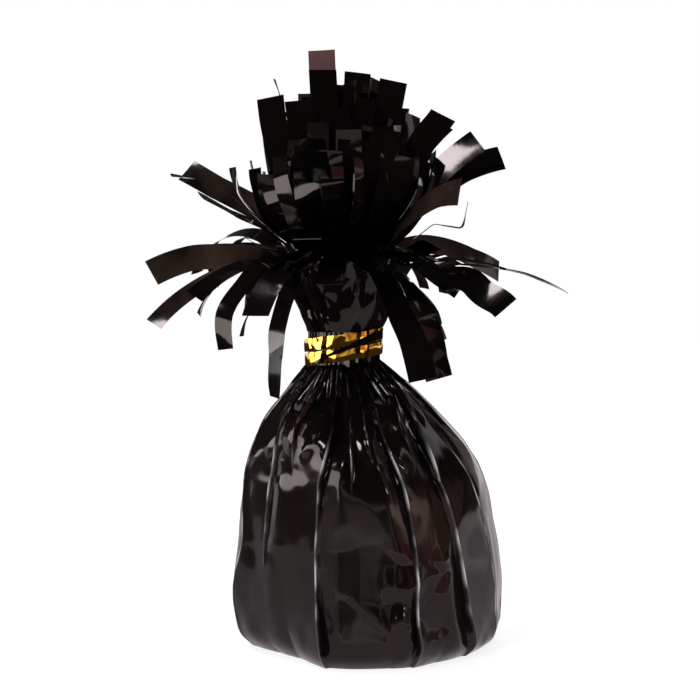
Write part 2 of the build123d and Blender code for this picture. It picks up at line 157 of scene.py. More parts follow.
# Flat facets that crumple the film: depth, girth that they share out, width, height and seed
Facets = namedtuple("Facets", "depth girth across tall seed")
BODY_FACETS = Facets(0.65, 180, 10, 15, 4)
SHOULDER_FACETS = (Facets(1.0, 110, 7.0, 10.0, 5), Facets(0.3, 110, 3.5, 5.0, 8))
RIM_FACETS = Facets(1.0, 180, 3.0, 4.0, 6)
FACET_JITTER = 0.36
FACET_MARGIN = 3
# Slow waves in the film: number round the body, length up it and size
WAVES = ((3, 60, 0.30), (5, 50, 0.22), (8, 40, 0.16), (13, 34, 0.10), (21, 22, 0.05), (34, 16, 0.025))
WAVE_SHARE = 0.35

# Creases pressed into the film: each is a straight ridge or dent on the surface, with its own
# reach along and across. A region scatters a number of them.
Crease = namedtuple("Crease", "azimuth height lean half_length steep gentle rise")
Region = namedtuple("Region", "count azimuths heights leans lengths widths rises")
SKIRT_CREASES = (
    Crease(-86, 9.5, -48, 11.0, 0.7, 7.0, 0.9),
    Crease(-75, 8.0, -14, 6.0, 1.6, 1.8, 0.7),
    Crease(-114, 46.0, 52, 5.0, 1.2, 2.4, 0.9),
    Crease(-70, 44.0, -30, 5.0, 1.0, 3.0, 0.8),
)
# Gathers below the tie: their number, the height where they start, the rise to their full depth, and
# the level between valley and ridge that keeps its place
GATHERS = 36
GATHER_FOOT, GATHER_RISE = 53, 7
GATHER_DEPTH, GATHER_LEVEL = 0.42, 0.6

# Rings that the strips stand on: radius and height, round the neck's axis
Ring = namedtuple("Ring", "radius height")
UNDER = Ring(14.47, 81.5)
LEDGE = Ring(12.76, 86.6)
LINING = Ring(9.26, 88.2)
HEM = Ring(15.65, 85.15)
MIDDLE = Ring(12.65, 87.65)
INNER = Ring(9.15, 89.65)
CREST = Ring(9.15, 90.0)
CORE = Ring(5.35, 91.4)
HEART = Ring(2.0, 91.4)

# Each strip leaves its ring at an azimuth and a launch angle above the horizon and bends to its tip
# angle. Its face turns about its length, 0 being level. Share is of the slits' length.
Strip = namedtuple("Strip", "ring azimuth launch tip face_root face_tip share width")
WIDE, SLIM, THREAD = "strip_width", "slim_width", "thread_width"
OUTER_STRIPS = {
    "right_long": Strip(HEM, -4, 0, -28, 0, 5, 0.88, WIDE),
    "right_broad": Strip(HEM, -27, -14, -42, 15, 75, 0.66, WIDE),
    "right_arched": Strip(MIDDLE, 25, 18, -30, 40, 60, 0.72, WIDE),
    "right_high": Strip(INNER, 10, 56, 12, 65, 65, 0.86, WIDE),
    "right_front": Strip(MIDDLE, -47, 50, 0, 50, 70, 0.66, WIDE),
    "right_hooked": Strip(MIDDLE, 0, 22, 72, 0, 0, 0.54, THREAD),
    "right_hanging": Strip(UNDER, -26, -51, -77, 0, 60, 0.61, WIDE),
    "right_back": Strip(HEM, 47, 26, -75, 10, 30, 0.60, WIDE),
    "right_short": Strip(UNDER, 4, -44, -84, 0, 60, 0.32, SLIM),
    "right_lifted": Strip(INNER, -30, 66, 52, -50, -50, 0.78, WIDE),
    "right_raised": Strip(INNER, 50, 58, 32, 40, 40, 1.04, WIDE),
    "front_hanging": Strip(UNDER, -54, -46, -72, 0, 40, 0.66, WIDE),
    "front_right": Strip(MIDDLE, -70, 66, 50, -20, -20, 0.70, WIDE),
    "front_left": Strip(MIDDLE, -104, 66, 40, 0, 0, 0.60, WIDE),
    "front_bowed": Strip(HEM, -118, 0, -58, -5, -5, 0.66, WIDE),
    "left_hanging": Strip(UNDER, -138, -60, -94, 0, 20, 0.67, WIDE),
    "left_bowed": Strip(HEM, -139, 0, -100, -25, -20, 0.74, SLIM),
    "left_slant": Strip(HEM, -156, -2, -48, -20, -50, 0.81, SLIM),
    "left_short": Strip(MIDDLE, -152, 34, 24, -20, -20, 0.62, WIDE),
    "left_broad": Strip(HEM, -174, 14, -28, -60, -80, 0.69, WIDE),
    "left_edge": Strip(MIDDLE, 179, 54, 6, 0, 0, 0.80, WIDE),
    "left_tucked": Strip(HEM, 168, 8, -72, -20, -30, 0.60, SLIM),
    "left_high": Strip(INNER, 154, 33, 27, -60, -60, 0.92, WIDE),
    "left_arched": Strip(HEM, 147, 60, -68, -15, -15, 0.82, WIDE),
    "back_left": Strip(HEM, 122, 30, -24, 0, 0, 0.75, WIDE),
    "back_rise_left": Strip(MIDDLE, 116, 56, 26, 0, 0, 0.80, WIDE),
    "back_middle": Strip(HEM, 97, 26, -28, 0, 0, 0.75, WIDE),
    "back_rise_right": Strip(MIDDLE, 84, 56, 26, 0, 0, 0.80, WIDE),
    "back_right": Strip(HEM, 72, 30, -24, 0, 0, 0.75, WIDE),
}
# Shorter strips that stand beside some of these and move with them
BESIDE_STRIPS = {
    "right_broad": Strip(HEM, -46, 16, -30, 0, 10, 0.44, WIDE),
    "right_lifted": Strip(INNER, 0, 60, 34, 64, 65, 0.77, WIDE),
    "right_short": Strip(UNDER, 36, -30, -70, 0, 0, 0.50, WIDE),
    "front_right": Strip(LEDGE, -70, 22, -22, -20, -5, 0.46, WIDE),
    "front_left": Strip(LEDGE, -104, 28, -12, 0, 0, 0.46, WIDE),
    "front_bowed": Strip(HEM, -95, 12, -44, 0, 6, 0.40, WIDE),
    "left_hanging": Strip(UNDER, -166, -40, -80, 0, 20, 0.40, SLIM),
    "left_short": Strip(MIDDLE, -128, 44, 92, 0, 0, 0.55, SLIM),
}
CROWN_STRIPS = (
    Strip(HEART, 150, 89, 87, -60, -60, 1.05, WIDE),
    Strip(CORE, -120, 85, 83, 30, 30, 0.89, WIDE),
    Strip(CORE, 70, 85, 82, 20, 20, 0.94, WIDE),
    Strip(CORE, -42, 80, 76, -48, -48, 0.85, WIDE),
    Strip(CREST, -65, 84, 80, -25, -25, 0.76, SLIM),
    Strip(CORE, 14, 84, 66, 0, 0, 0.75, WIDE),
    Strip(CREST, 31, 82, 76, 10, 10, 0.78, THREAD),
    Strip(CREST, -14, 78, 74, -75, -75, 0.60, WIDE),
    Strip(CREST, -158, 70, 84, 60, 60, 0.80, WIDE),
    Strip(CORE, 178, 80, 72, 0, 0, 0.90, WIDE),
    Strip(CREST, -130, 82, 78, 40, 40, 0.75, WIDE),
    Strip(CREST, 176, 70, 84, 84, 84, 0.60, WIDE),
    Strip(CREST, -96, 82, 78, 5, 5, 0.70, WIDE),
    Strip(CREST, 84, 74, 64, 0, 0, 0.85, WIDE),
    Strip(CREST, 124, 74, 64, 0, 0, 0.85, WIDE),
    Strip(LINING, -84, 64, 84, 0, 0, 0.60, WIDE),
    Strip(HEART, -30, 86, 84, 0, 0, 0.86, WIDE),
    Strip(LINING, 104, 60, 84, 0, 0, 0.55, SLIM),
    Strip(CORE, -82, 84, 85, 0, 0, 0.80, THREAD),
    Strip(CORE, 120, 84, 82, 0, 0, 0.86, THREAD),
)

# Filling of the tuft: ring, step of the azimuths, launch angles, tip angles and shares
CROWN_FILLING = (
    (LINING, 12, (36, 54), (88, 106), (0.48, 0.64)),
    (CREST, 15, (56, 72), (82, 98), (0.54, 0.72)),
    (CORE, 20, (76, 86), (78, 92), (0.62, 0.84)),
    (HEART, 45, (80, 88), (80, 92), (0.75, 0.90)),
)

# Strips with sharp bends: angles above the horizon at shares of the length
KINKS = {"right_hooked": ((0, 38), (0.42, 38), (0.47, -15), (0.70, -15), (0.76, 78), (1, 78))}
# Strips that ripple along their length: swing in degrees and number of waves
RIPPLES = {"right_broad": (13, 2.6), "right_lifted": (9, 2.0), "left_bowed": (8, 2.0)}
# Outer strips whose film has a painted brown reflection tone, and the crown's strips with a painted
# brown-purple reflection at the tip
PAINTED_BROWN_STRIPS = ("left_high", "left_edge", "left_broad", "right_arched", "right_front", "left_slant")
PAINTED_TIP_CROWN = (0,)
ROOT_TUCK = 1.6
CREASE_ANGLE = 30
STRIP_COLUMNS = 8
STRIP_ROWS = 44
# Unevenness of a strip, drawn between limits: places and turn of its two dents, sway of its face,
# camber, depth, number and start of its waves, and skew of its end
FIRST_DENT, SECOND_DENT, DENT_TURN, DENT_REACH = (0.25, 0.5), (0.6, 0.85), (-11, 11), 0.02
FACE_SWAY, CAMBER = (-7, 7), (-0.9, 0.9)
WAVE_DEPTH, WAVE_NUMBER, WAVE_START = (0.05, 0.16), (8, 15), (0, 6)
END_SKEW, SKEWED_FROM = (-0.12, 0.12), 0.8
# Strips that are drawn between limits: turn from an azimuth, launch, tip, face at the root and share
Loose = namedtuple("Loose", "turns launches tips faces shares")
STEEP_STRIPS = Loose((5, 11), (16, 36), (78, 98), (-25, 25), (0.44, 0.62))
FLAT_STRIPS = Loose((4, 10), (5, 35), (-45, 15), (-25, 25), (0.26, 0.38))
CROWN_FACES, FACE_CHANGE = (-35, 35), (-20, 20)
RING_OUT, RING_UP = (0, 1.5), (-0.5, 0.5)
# Shorter copies of the hem's strips: how far they are lifted and turned, change of face and share
COPY_LIFT, COPY_TURN, COPY_FACE, COPY_SHARE = (4, 12), (-7, 7), (-15, 15), (0.5, 0.7)
# Seeds of the random draws
STRIP_SEED, BESIDE_SEED, CROWN_SEED = 100, 500, 300
WAVE_SEED, COMPANION_SEED, FILLING_SEED, TIE_SEED = 3, 50, 5, 31

# Studio: upright cards that only reflections see, as azimuth, half width, foot, top and tone. Those at
# the card radius darken from their middle up to a share of their tone.
Card = namedtuple("Card", "azimuth half_width foot top tone")
CARD_RADIUS = 1.4
CARDS = (
    Card(172, 11, 0.0, 0.34, (0.16, 0.12, 0.115)),
    Card(-164, 13, 0.0, 0.40, (0.14, 0.10, 0.095)),
    Card(-140, 11, 0.0, 0.36, (0.62, 0.55, 0.56)),
    Card(-121, 8, 0.06, 0.42, (0.50, 0.44, 0.45)),
    Card(-107, 6, 0.06, 0.42, (0.26, 0.21, 0.21)),
    Card(-93, 8, 0.06, 0.42, (0.56, 0.49, 0.51)),
    Card(-80, 5, 0.06, 0.42, (0.24, 0.19, 0.19)),
    Card(-68, 7, 0.06, 0.82, (0.48, 0.40, 0.39)),
    Card(-55, 6, 0.06, 0.82, (0.08, 0.055, 0.05)),
    Card(-40, 9, 0.06, 0.82, (0.46, 0.20, 0.18)),
    Card(-24, 7, 0.06, 0.82, (0.42, 0.22, 0.20)),
    Card(-4, 13, 0.06, 1.02, (0.26, 0.18, 0.14)),
    Card(22, 13, 0.10, 1.00, (0.08, 0.06, 0.05)),
    Card(48, 13, 0.12, 1.00, (0.34, 0.28, 0.26)),
    Card(90, 29, 0.24, 1.40, (0.05, 0.042, 0.04)),
    Card(140, 21, 0.18, 1.00, (0.05, 0.04, 0.036)),
    Card(-160, 43, 0.36, 1.60, (0.05, 0.04, 0.036)),
    Card(-92, 25, 0.42, 1.60, (0.04, 0.032, 0.03)),
    Card(-40, 27, 0.80, 1.60, (0.03, 0.022, 0.02)),
    Card(22, 35, 1.00, 1.60, (0.04, 0.032, 0.03)),
)
CARD_FADE = 0.15
# A dark visor in front of the fringe keeps the pale cards out of it
VISOR_RADIUS = 0.15
VISOR_TONE = (0.03, 0.023, 0.021)
VISOR = tuple(Card(azimuth, 13, 0.098, 0.165, VISOR_TONE) for azimuth in (-116, -90, -64))
# Bright cards on both sides of the tie
TIE_CARD_RADIUS = 0.12
TIE_CARDS = (
    Card(-155, 40, 0.054, 0.086, (4.2, 4.1, 3.9)),
    Card(-44, 13, 0.056, 0.069, (1.5, 1.3, 1.0)),
)
STANDING_CARDS = {
    "card": (CARDS, CARD_RADIUS),
    "visor": (VISOR, VISOR_RADIUS),
    "tie_card": (TIE_CARDS, TIE_CARD_RADIUS),
}
# Flags round the body's shoulder, as left, near, right and far edges. They show only from above, and
# keep the floor out of the fringe.
FLAG_HEIGHT = 0.05
FLAG_TONE = (0.03, 0.024, 0.022)
FLAGS = (
    (-0.70, -1.38, 0.70, -0.032), (-0.70, 0.032, 0.70, 1.38),
    (-0.70, -0.032, -0.034, 0.032), (0.028, -0.032, 0.70, 0.032),
)
# The floor that the camera sees, and the one that reflections see, which fades out at a radius
FLOOR_SIZE = 8
FLOOR_GREY, FLOOR_SHADE, FLOOR_GLOW = 0.82, 0.26, 0.82
FLOOR_CARD_HEIGHT = 0.0006
FLOOR_RADIUS = 1.4
FLOOR_TONE = (0.64, 0.58, 0.60)
CEILING_HEIGHT = 1.6
CEILING_TONE = (0.025, 0.020, 0.018)
# Strength of the white surround as light, and where it is seen
SURROUND_LIGHT, SURROUND_SEEN = 0.7, 1.0

# Lamps: place, width and height, power and colour
Lamp = namedtuple("Lamp", "place size power colour")
LAMPS = {
    "sky_lamp": Lamp((-0.40, 0.20, 0.84), (0.22, 0.22), 3.8, (0.92, 0.96, 1.0)),
    "key_lamp": Lamp((-0.40, -0.60, 0.75), (0.17, 0.17), 2.0, (0.97, 0.98, 1.0)),
    "left_strip_lamp": Lamp((-0.70, -0.30, 0.50), (0.03, 0.36), 0.20, (1.0, 0.97, 0.93)),
    "right_strip_lamp": Lamp((0.70, -0.28, 0.36), (0.06, 0.50), 0.08, (1.0, 0.86, 0.84)),
    "right_glint_lamp": Lamp((0.62, -0.52, 0.56), (0.09, 0.09), 0.42, (0.97, 0.98, 1.0)),
    "rim_lamp": Lamp((0.25, 0.70, 0.60), (0.40, 0.20), 1.6, (1.0, 1.0, 1.0)),
}

# The photograph's camera
CAMERA_PLACE = (-0.00405, -0.330, 0.0776)
CAMERA_PITCH = math.radians(90 - 2.147)
CAMERA_LENS = 75.45
CAMERA_SENSOR = 36
CAMERA_NEAR = 0.01


def colour_setting(name, description, default):
    """A setting that holds a colour."""
    return FloatVectorProperty(
        name=name, description=description, subtype="COLOR", size=4, min=0, max=1, default=(*default, 1))


def length_setting(name, description, default):
    """A setting that holds a length, with its default in millimetres."""
    return FloatProperty(name=name, description=description, unit="LENGTH", default=default * MM)


class FilmSettings(bpy.types.PropertyGroup):
    """Finish of the black film."""

    colour: colour_setting("Colour", "Colour of the film", (0.0014, 0.0011, 0.0011))
    warm_colour: colour_setting(
        "Warm Colour", "Colour of the film in its warmer patches", (0.0036, 0.0023, 0.0021))
    # Painted brown reflection tone, mixed into the film of some strips
    painted_brown_reflection: colour_setting(
        "Painted Brown Reflection", "Colour of the film where it is pulled thin", (0.042, 0.026, 0.019))
    # Painted brown-purple reflection tone at the tip of one crown strip
    painted_tip_reflection: colour_setting(
        "Painted Tip Reflection", "Colour of a single layer of film at the tip", (0.120, 0.060, 0.062))
    # Painted highlight colour, mixed into the film's colour along the skirt's sharp folds
    painted_highlight_colour: colour_setting(
        "Painted Highlight Colour", "Colour of the film along its sharp folds", (0.72, 0.70, 0.70))
    roughness: FloatProperty(
        name="Roughness", description="Least roughness of the film", subtype="FACTOR",
        min=0, max=1, default=0.05)
    ior: FloatProperty(name="IOR", description="Index of refraction of the film", default=1.45)
    sheen_tint: colour_setting("Sheen Tint", "Warm tint of the film's reflections", (1.0, 0.86, 0.84))
    thickness: length_setting("Thickness", "Thickness of the film in the fringe", 0.10)


class FringeSettings(bpy.types.PropertyGroup):
    """Sizes of the slit fringe."""

    slit_length: length_setting("Slit Length", "Length of the slits in the film", 40.0)
    strip_width: length_setting("Strip Width", "Width of a strip", 6.0)
    slim_width: length_setting("Slim Width", "Width of a narrow strip", 4.0)
    thread_width: length_setting("Thread Width", "Width of the narrowest strips", 2.5)


class TieSettings(bpy.types.PropertyGroup):
    """Sizes and finish of the gold ribbon."""

    width: length_setting("Width", "Width of the ribbon", 2.75)
    pitch: length_setting("Pitch", "Rise of the ribbon in one turn", 3.1)
    turns: FloatProperty(name="Turns", description="Turns round the neck", default=2.0)
    tilt: FloatProperty(
        name="Tilt", description="Slope of the tie from left to right", subtype="ANGLE",
        unit="ROTATION", default=math.radians(4.5))
    thickness: length_setting("Thickness", "Thickness of the ribbon", 0.10)
    colour: colour_setting("Colour", "Colour of the ribbon", (1.0, 0.60, 0.09))


def spread(low, high, draw):
    """A random value between two limits."""
    return low + (high - low) * draw.random()


def ease(low, high, value):
    """Rises smoothly from 0 at one limit to 1 at the other."""
    share = np.clip((value - low) / (high - low), 0, 1)
    return share * share * (3 - 2 * share)


def smooth_through(heights, values, at):
    """A smooth curve through values at rising heights."""
    heights = np.asarray(heights, float)
    values = np.asarray(values, float)
    slopes = np.gradient(values, heights)
    span = np.clip(np.searchsorted(heights, at) - 1, 0, len(heights) - 2)
    gap = heights[span + 1] - heights[span]
    t = (at - heights[span]) / gap
    return ((2 * t**3 - 3 * t**2 + 1) * values[span] + (t**3 - 2 * t**2 + t) * gap * slopes[span]
            + (3 * t**2 - 2 * t**3) * values[span + 1] + (t**3 - t**2) * gap * slopes[span + 1])


def turn_from(azimuth, start):
    """Signed angle in degrees from one azimuth to another, the short way round."""
    return (azimuth - start + FULL_TURN / 2) % FULL_TURN - FULL_TURN / 2


def scatter(region, draw):
    """Random creases over a region of the surface."""
    made = []
    for _ in range(region.count):
        width = spread(*region.widths, draw)
        made.append(Crease(
            spread(*region.azimuths, draw), spread(*region.heights, draw),
            spread(*region.leans, draw), spread(*region.lengths, draw),
            width, width * spread(0.6, 1.8, draw), spread(*region.rises, draw)))
    return made


def creased(azimuth, height, radius, creases):
    """How far creases lift the surface at each point, a sharp line with a slope on both sides."""
    lift = np.zeros_like(azimuth)
    for crease in creases:
        sideways = np.radians(turn_from(azimuth, crease.azimuth)) * radius
        upwards = height - crease.height
        lean = math.radians(crease.lean)
        along = sideways * math.sin(lean) + upwards * math.cos(lean)
        across = sideways * math.cos(lean) - upwards * math.sin(lean)
        reach = np.where(across < 0, crease.steep, crease.gentle)
        tent = np.clip(1 - np.abs(across) / reach, 0, 1)
        lift += crease.rise * tent * np.clip(1 - (along / crease.half_length) ** 2, 0, 1) ** 2
    return lift


def zigzag(turns):
    """A sharp wave from -1 to 1, once a turn."""
    return np.abs(turns % 1 * 2 - 1) * 2 - 1


def gathered(azimuth):
    """Uneven gathers round the neck, from -1 in a valley to 1 on a ridge."""
    turn = np.radians(azimuth)
    warped = turn + 0.07 * np.sin(3 * turn + 1.0) + 0.05 * np.sin(7 * turn + 0.4)
    return zigzag(warped * GATHERS / (2 * math.pi)) * (0.65 + 0.35 * np.sin(5 * turn + 2.0))


def crumpled(azimuth, height, facets):
    """How far flat facets that meet in sharp lines lift the surface, up or down by their depth."""
    draw = random.Random(facets.seed)
    around = max(3, round(facets.girth / facets.across))
    low = -1.5 * facets.tall
    levels = math.ceil((height.max() - low) / facets.tall) + FACET_MARGIN
    corners, lifts = [], []
    for level in range(levels):
        for column in range(around):
            place = column + 0.5 * (level % 2) + spread(-FACET_JITTER, FACET_JITTER, draw)
            rise = level + spread(-FACET_JITTER, FACET_JITTER, draw)
            lift = spread(-1, 1, draw)
            for copy in (place - around, place, place + around):
                if -FACET_MARGIN < copy < around + FACET_MARGIN:
                    corners.append(Vector((copy, rise)))
                    lifts.append(lift)
    made, _, faces, sources, _, _ = delaunay_2d_cdt(corners, [], [], 0, TINY)
    across_at, up_at = (azimuth / FULL_TURN) % 1 * around, (height - low) / facets.tall
    total = np.zeros_like(azimuth)
    for face in faces:
        (ax, ay), (bx, by), (cx, cy) = (made[corner] for corner in face)
        near = np.flatnonzero((across_at >= min(ax, bx, cx)) & (across_at <= max(ax, bx, cx))
                              & (up_at >= min(ay, by, cy)) & (up_at <= max(ay, by, cy)))
        size = (by - cy) * (ax - cx) + (cx - bx) * (ay - cy)
        right, rise = across_at[near] - cx, up_at[near] - cy
        first = ((by - cy) * right + (cx - bx) * rise) / size
        second = ((cy - ay) * right + (ax - cx) * rise) / size
        inside = (first >= -TINY) & (second >= -TINY) & (first + second <= 1 + TINY)
        a, b, c = (lifts[sources[corner][0]] for corner in face)
        total[near[inside]] = (a * first + b * second + c * (1 - first - second))[inside]
    return facets.depth * total


def wobble(azimuth, height):
    """Slow waves in the film, longer up the body than round it, periodic round the body."""
    draw = random.Random(WAVE_SEED)
    turn = np.radians(azimuth)
    total = np.zeros_like(azimuth)
    for waves, tall, size in WAVES:
        phase = spread(0, 2 * math.pi, draw)
        rise = spread(0, 2 * math.pi, draw)
        total += size * np.sin(waves * turn + phase + 1.5 * np.sin(2 * math.pi * height / tall + rise))
    return WAVE_SHARE * total


def lay_sheet(name, columns, rows):
    """Adds a flat sheet of film and gives its points' places across and along, from 0 to 1."""
    bpy.ops.object.select_all(action="DESELECT")
    bpy.ops.mesh.primitive_grid_add(x_subdivisions=columns, y_subdivisions=rows, size=1)
    sheet = bpy.context.object
    sheet.name = name
    sheet.data.name = name
    places = np.empty(len(sheet.data.vertices) * 3, np.float32)
    sheet.data.vertices.foreach_get("co", places)
    return sheet, places[0::3].astype(float) + 0.5, places[1::3].astype(float) + 0.5


def shape_sheet(sheet, x, y, z):
    """Moves a sheet's points to their places, in millimetres."""
    places = np.stack([x, y, z], axis=1) * MM
    sheet.data.vertices.foreach_set("co", places.astype(np.float32).ravel())
    sheet.data.update()


def shape_round(sheet, azimuth, reach, height, offset=NECK_OFFSET, tilt=0):
    """Moves a sheet's points to their places round an upright axis, with a slope from left to right."""
    turn = np.radians(azimuth)
    x = reach * np.cos(turn)
    shape_sheet(sheet, offset + x, reach * np.sin(turn), height + tilt * x)


def pick_only(piece):
    """Selects one piece alone and makes it active."""
    bpy.ops.object.select_all(action="DESELECT")
    piece.select_set(True)
    bpy.context.view_layer.objects.active = piece


def close_seams(piece):
    """Merges the points that meet at a seam or a pole."""
    pick_only(piece)
    bpy.ops.object.mode_set(mode="EDIT")
    bpy.ops.mesh.select_all(action="SELECT")
    bpy.ops.mesh.remove_doubles(threshold=0.002 * MM)
    bpy.ops.object.mode_set(mode="OBJECT")


def thicken(piece, thickness):
    """Gives a sheet its thickness, half to each side."""
    pick_only(piece)
    bpy.ops.object.modifier_add(type="SOLIDIFY")
    wall = piece.modifiers[-1]
    wall.thickness = thickness
    wall.offset = 0
    bpy.ops.object.modifier_apply(modifier=wall.name)


def dress(piece, material, body, node):
    """Finishes a piece: smooth faces, its material unless it has one, the body that it rides on and
    the node that it stands for."""
    pick_only(piece)
    bpy.ops.object.shade_smooth_by_angle(angle=math.radians(CREASE_ANGLE))
    if material:
        piece.data.materials.append(material)
    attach(piece, body)
    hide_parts(node)


def join(pieces, name):
    """Joins pieces into one under a name."""
    pick_only(pieces[0])
    for piece in pieces:
        piece.select_set(True)
    bpy.ops.object.join()
    joined = bpy.context.object
    joined.name = name
    joined.data.name = name
    return joined


def set_inputs(tree, node, *listed, **named):
    """Sets a node's inputs by place or by name, and links those that get another node's output."""
    places = [*enumerate(listed), *((name.replace("_", " "), value) for name, value in named.items())]
    for place, value in places:
        if isinstance(value, bpy.types.NodeSocket):
            tree.links.new(value, node.inputs[place])
        else:
            node.inputs[place].default_value = value


def node_of(tree, kind, *listed, **named):
    """Adds a node with its inputs set."""
    node = tree.nodes.new(kind)
    set_inputs(tree, node, *listed, **named)
    return node


def surface(name):
    """A new material with its tree and its shader."""
    material = bpy.data.materials.new(name)
    material.use_nodes = True
    tree = material.node_tree
    return material, tree, tree.nodes["Principled BSDF"]


def own_place(tree):
    """The piece's own coordinates."""
    return tree.nodes.new("ShaderNodeTexCoord").outputs["Object"]


def stretched_noise(tree, scale, stretch, detail=3.0):
    """Noise on the piece's own coordinates, stretched along Z."""
    mapping = node_of(tree, "ShaderNodeMapping", Vector=own_place(tree), Scale=(1, 1, stretch))
    noise = node_of(tree, "ShaderNodeTexNoise", Vector=mapping.outputs["Vector"],
                    Scale=scale, Detail=detail)
    return noise.outputs["Fac"]


# Values of the noise that stand for the ends of a range, and of a mix of two colours
NOISE_ENDS = (0.3, 0.7)
MIX_ENDS = (0.38, 0.66)


def between(tree, noise, low, high):
    """Maps noise onto a range of values."""
    first, last = NOISE_ENDS
    ranged = node_of(tree, "ShaderNodeMapRange", Value=noise, From_Min=first, From_Max=last,
                     To_Min=low, To_Max=high)
    return ranged.outputs["Result"]


def mixed(tree, noise, *colours):
    """Mixes two colours by noise."""
    ramp = node_of(tree, "ShaderNodeValToRGB", Fac=noise)
    for element, position, colour in zip(ramp.color_ramp.elements, MIX_ENDS, colours):
        element.position = position
        element.color = colour
    return ramp.outputs["Color"]


def bumped(tree, shader, *layers):
    """Stacks bumps of noise, each with its strength and its depth in millimetres, under a shader."""
    below = {}
    for noise, strength, depth in layers:
        bump = node_of(tree, "ShaderNodeBump", Height=noise, Strength=strength,
                       Distance=depth * MM, **below)
        below = {"Normal": bump.outputs["Normal"]}
    set_inputs(tree, shader, **below)


# Kinds of black film: how much rougher than the least, how strong its streaks are, the settings of its
# two colours, and whether painted highlights lighten its folds
FilmKind = namedtuple("FilmKind", "rougher streaks colours rubbed")
SHINY, PAINTED_BROWN_FILM = "shiny_black_film", "thin_black_film"
PAINTED_TIP_FILM, HIGHLIGHTED_STRETCHED = "sheer_black_film", "stretched_black_film"
FILMS = {
    SHINY: FilmKind(0.0, 0.02, ("colour", "warm_colour"), False),
    # The next two kinds mix painted reflection tones into their colours
    PAINTED_BROWN_FILM: FilmKind(0.02, 0.02, ("warm_colour", "painted_brown_reflection"), False),
    PAINTED_TIP_FILM: FilmKind(0.03, 0.02, ("painted_tip_reflection", "painted_brown_reflection"), False),
    HIGHLIGHTED_STRETCHED: FilmKind(0.025, 0.08, ("colour", "warm_colour"), True),
}
ROUGH_RANGE = 0.06
GOLD = "crinkled_gold_foil"
GOLD_DEPTH = (0.9, 0.78, 0.6)


def black_film(name, kind, settings):
    """Shiny black film: a clear gloss over near black, with faint crinkles and warmer patches; some
    kinds mix in a painted brown reflection tone instead.
    """
    material, tree, shader = surface(name)
    colours = [getattr(settings, colour) for colour in kind.colours]
    least = settings.roughness + kind.rougher
    set_inputs(tree, shader, IOR=settings.ior, Specular_Tint=settings.sheen_tint,
               Base_Color=mixed(tree, stretched_noise(tree, 60, 0.5), *colours),
               Roughness=between(tree, stretched_noise(tree, 220, 0.6, 4), least, least + ROUGH_RANGE))
    bumped(tree, shader, (stretched_noise(tree, 110, 0.35), 0.08, 0.5),
           (stretched_noise(tree, 420, 0.7), 0.04, 0.2),
           (stretched_noise(tree, 520, 0.08), kind.streaks, 0.2))
    return material


def paint_fold_highlights(material, colour):
    """Paints highlights on a film along its folds by lightening its colour there."""
    tree = material.node_tree
    base = tree.nodes["Principled BSDF"].inputs["Base Color"]
    rub = tree.nodes.new("ShaderNodeAttribute")
    rub.attribute_name = PAINTED_HIGHLIGHT
    blend = tree.nodes.new("ShaderNodeMix")
    blend.data_type = "RGBA"
    set_inputs(tree, blend, Factor=rub.outputs["Fac"], A=base.links[0].from_socket, B=colour)
    tree.links.new(blend.outputs["Result"], base)


def film(name=SHINY):
    """A kind of black film, made the first time it is asked for."""
    if name in bpy.data.materials:
        return bpy.data.materials[name]
    settings, kind = bpy.context.scene.weight_film, FILMS[name]
    material = black_film(name, kind, settings)
    # Paints highlights along the folds of the kinds that have them
    if kind.rubbed:
        paint_fold_highlights(material, settings.painted_highlight_colour)
    return material


def gold():
    """The ribbon's metallised foil with fine crinkles, made the first time it is asked for."""
    if GOLD in bpy.data.materials:
        return bpy.data.materials[GOLD]
    material, tree, shader = surface(GOLD)
    light = bpy.context.scene.weight_tie.colour
    deep = (*(part * depth for part, depth in zip(light, GOLD_DEPTH)), 1)
    tone = stretched_noise(tree, 300, 1.0)
    set_inputs(tree, shader, Metallic=1.0, Base_Color=mixed(tree, tone, light, deep),
               Roughness=between(tree, tone, 0.05, 0.11))
    bumped(tree, shader, (stretched_noise(tree, 700, 0.6), 0.10, 0.15))
    return material


def clear_pouch():
    """Thin clear film of the inner pouch."""
    material, tree, shader = surface("clear_pouch_film")
    clouds = stretched_noise(tree, 90, 0.6)
    set_inputs(tree, shader, Transmission_Weight=0.85, IOR=1.45,
               Base_Color=mixed(tree, clouds, (0.86, 0.87, 0.88, 1), (0.93, 0.93, 0.92, 1)),
               Roughness=between(tree, clouds, 0.08, 0.2))
    bumped(tree, shader, (clouds, 0.3, 0.4))
    return material


def dry_sand():
    """Dry sand with pale and dark grains."""
    material, tree, shader = surface("dry_sand")
    grains = stretched_noise(tree, 1400, 1.0, 6)
    set_inputs(tree, shader, Roughness=0.95,
               Base_Color=mixed(tree, grains, (0.42, 0.33, 0.22, 1), (0.72, 0.62, 0.47, 1)))
    bumped(tree, shader, (grains, 0.8, 0.4))
    return material


def fold_azimuths(folds, height):
    """The azimuth of each fold at each height, one row a fold."""
    return np.stack([np.interp(height, FOLD_HEIGHTS, fold.azimuths) for fold in folds])


def down_the_folds(around, height):
    """Azimuth and foot of columns that run down the folds and crowd beside them."""
    place = np.clip(around * len(FOLDS), 0, len(FOLDS) - 1e-9)
    first = place.astype(int)
    share = place - first
    share = share - COLUMN_CROWDING * np.sin(2 * math.pi * share) / (2 * math.pi)
    ridges = fold_azimuths(FOLDS, height)
    ridges = np.concatenate([ridges, ridges[:1] + FULL_TURN])
    feet = np.array([fold.foot for fold in FOLDS + FOLDS[:1]])
    column = np.arange(len(around))
    azimuth = ridges[first, column] * (1 - share) + ridges[first + 1, column] * share
    return azimuth, feet[first] * (1 - share) + feet[first + 1] * share


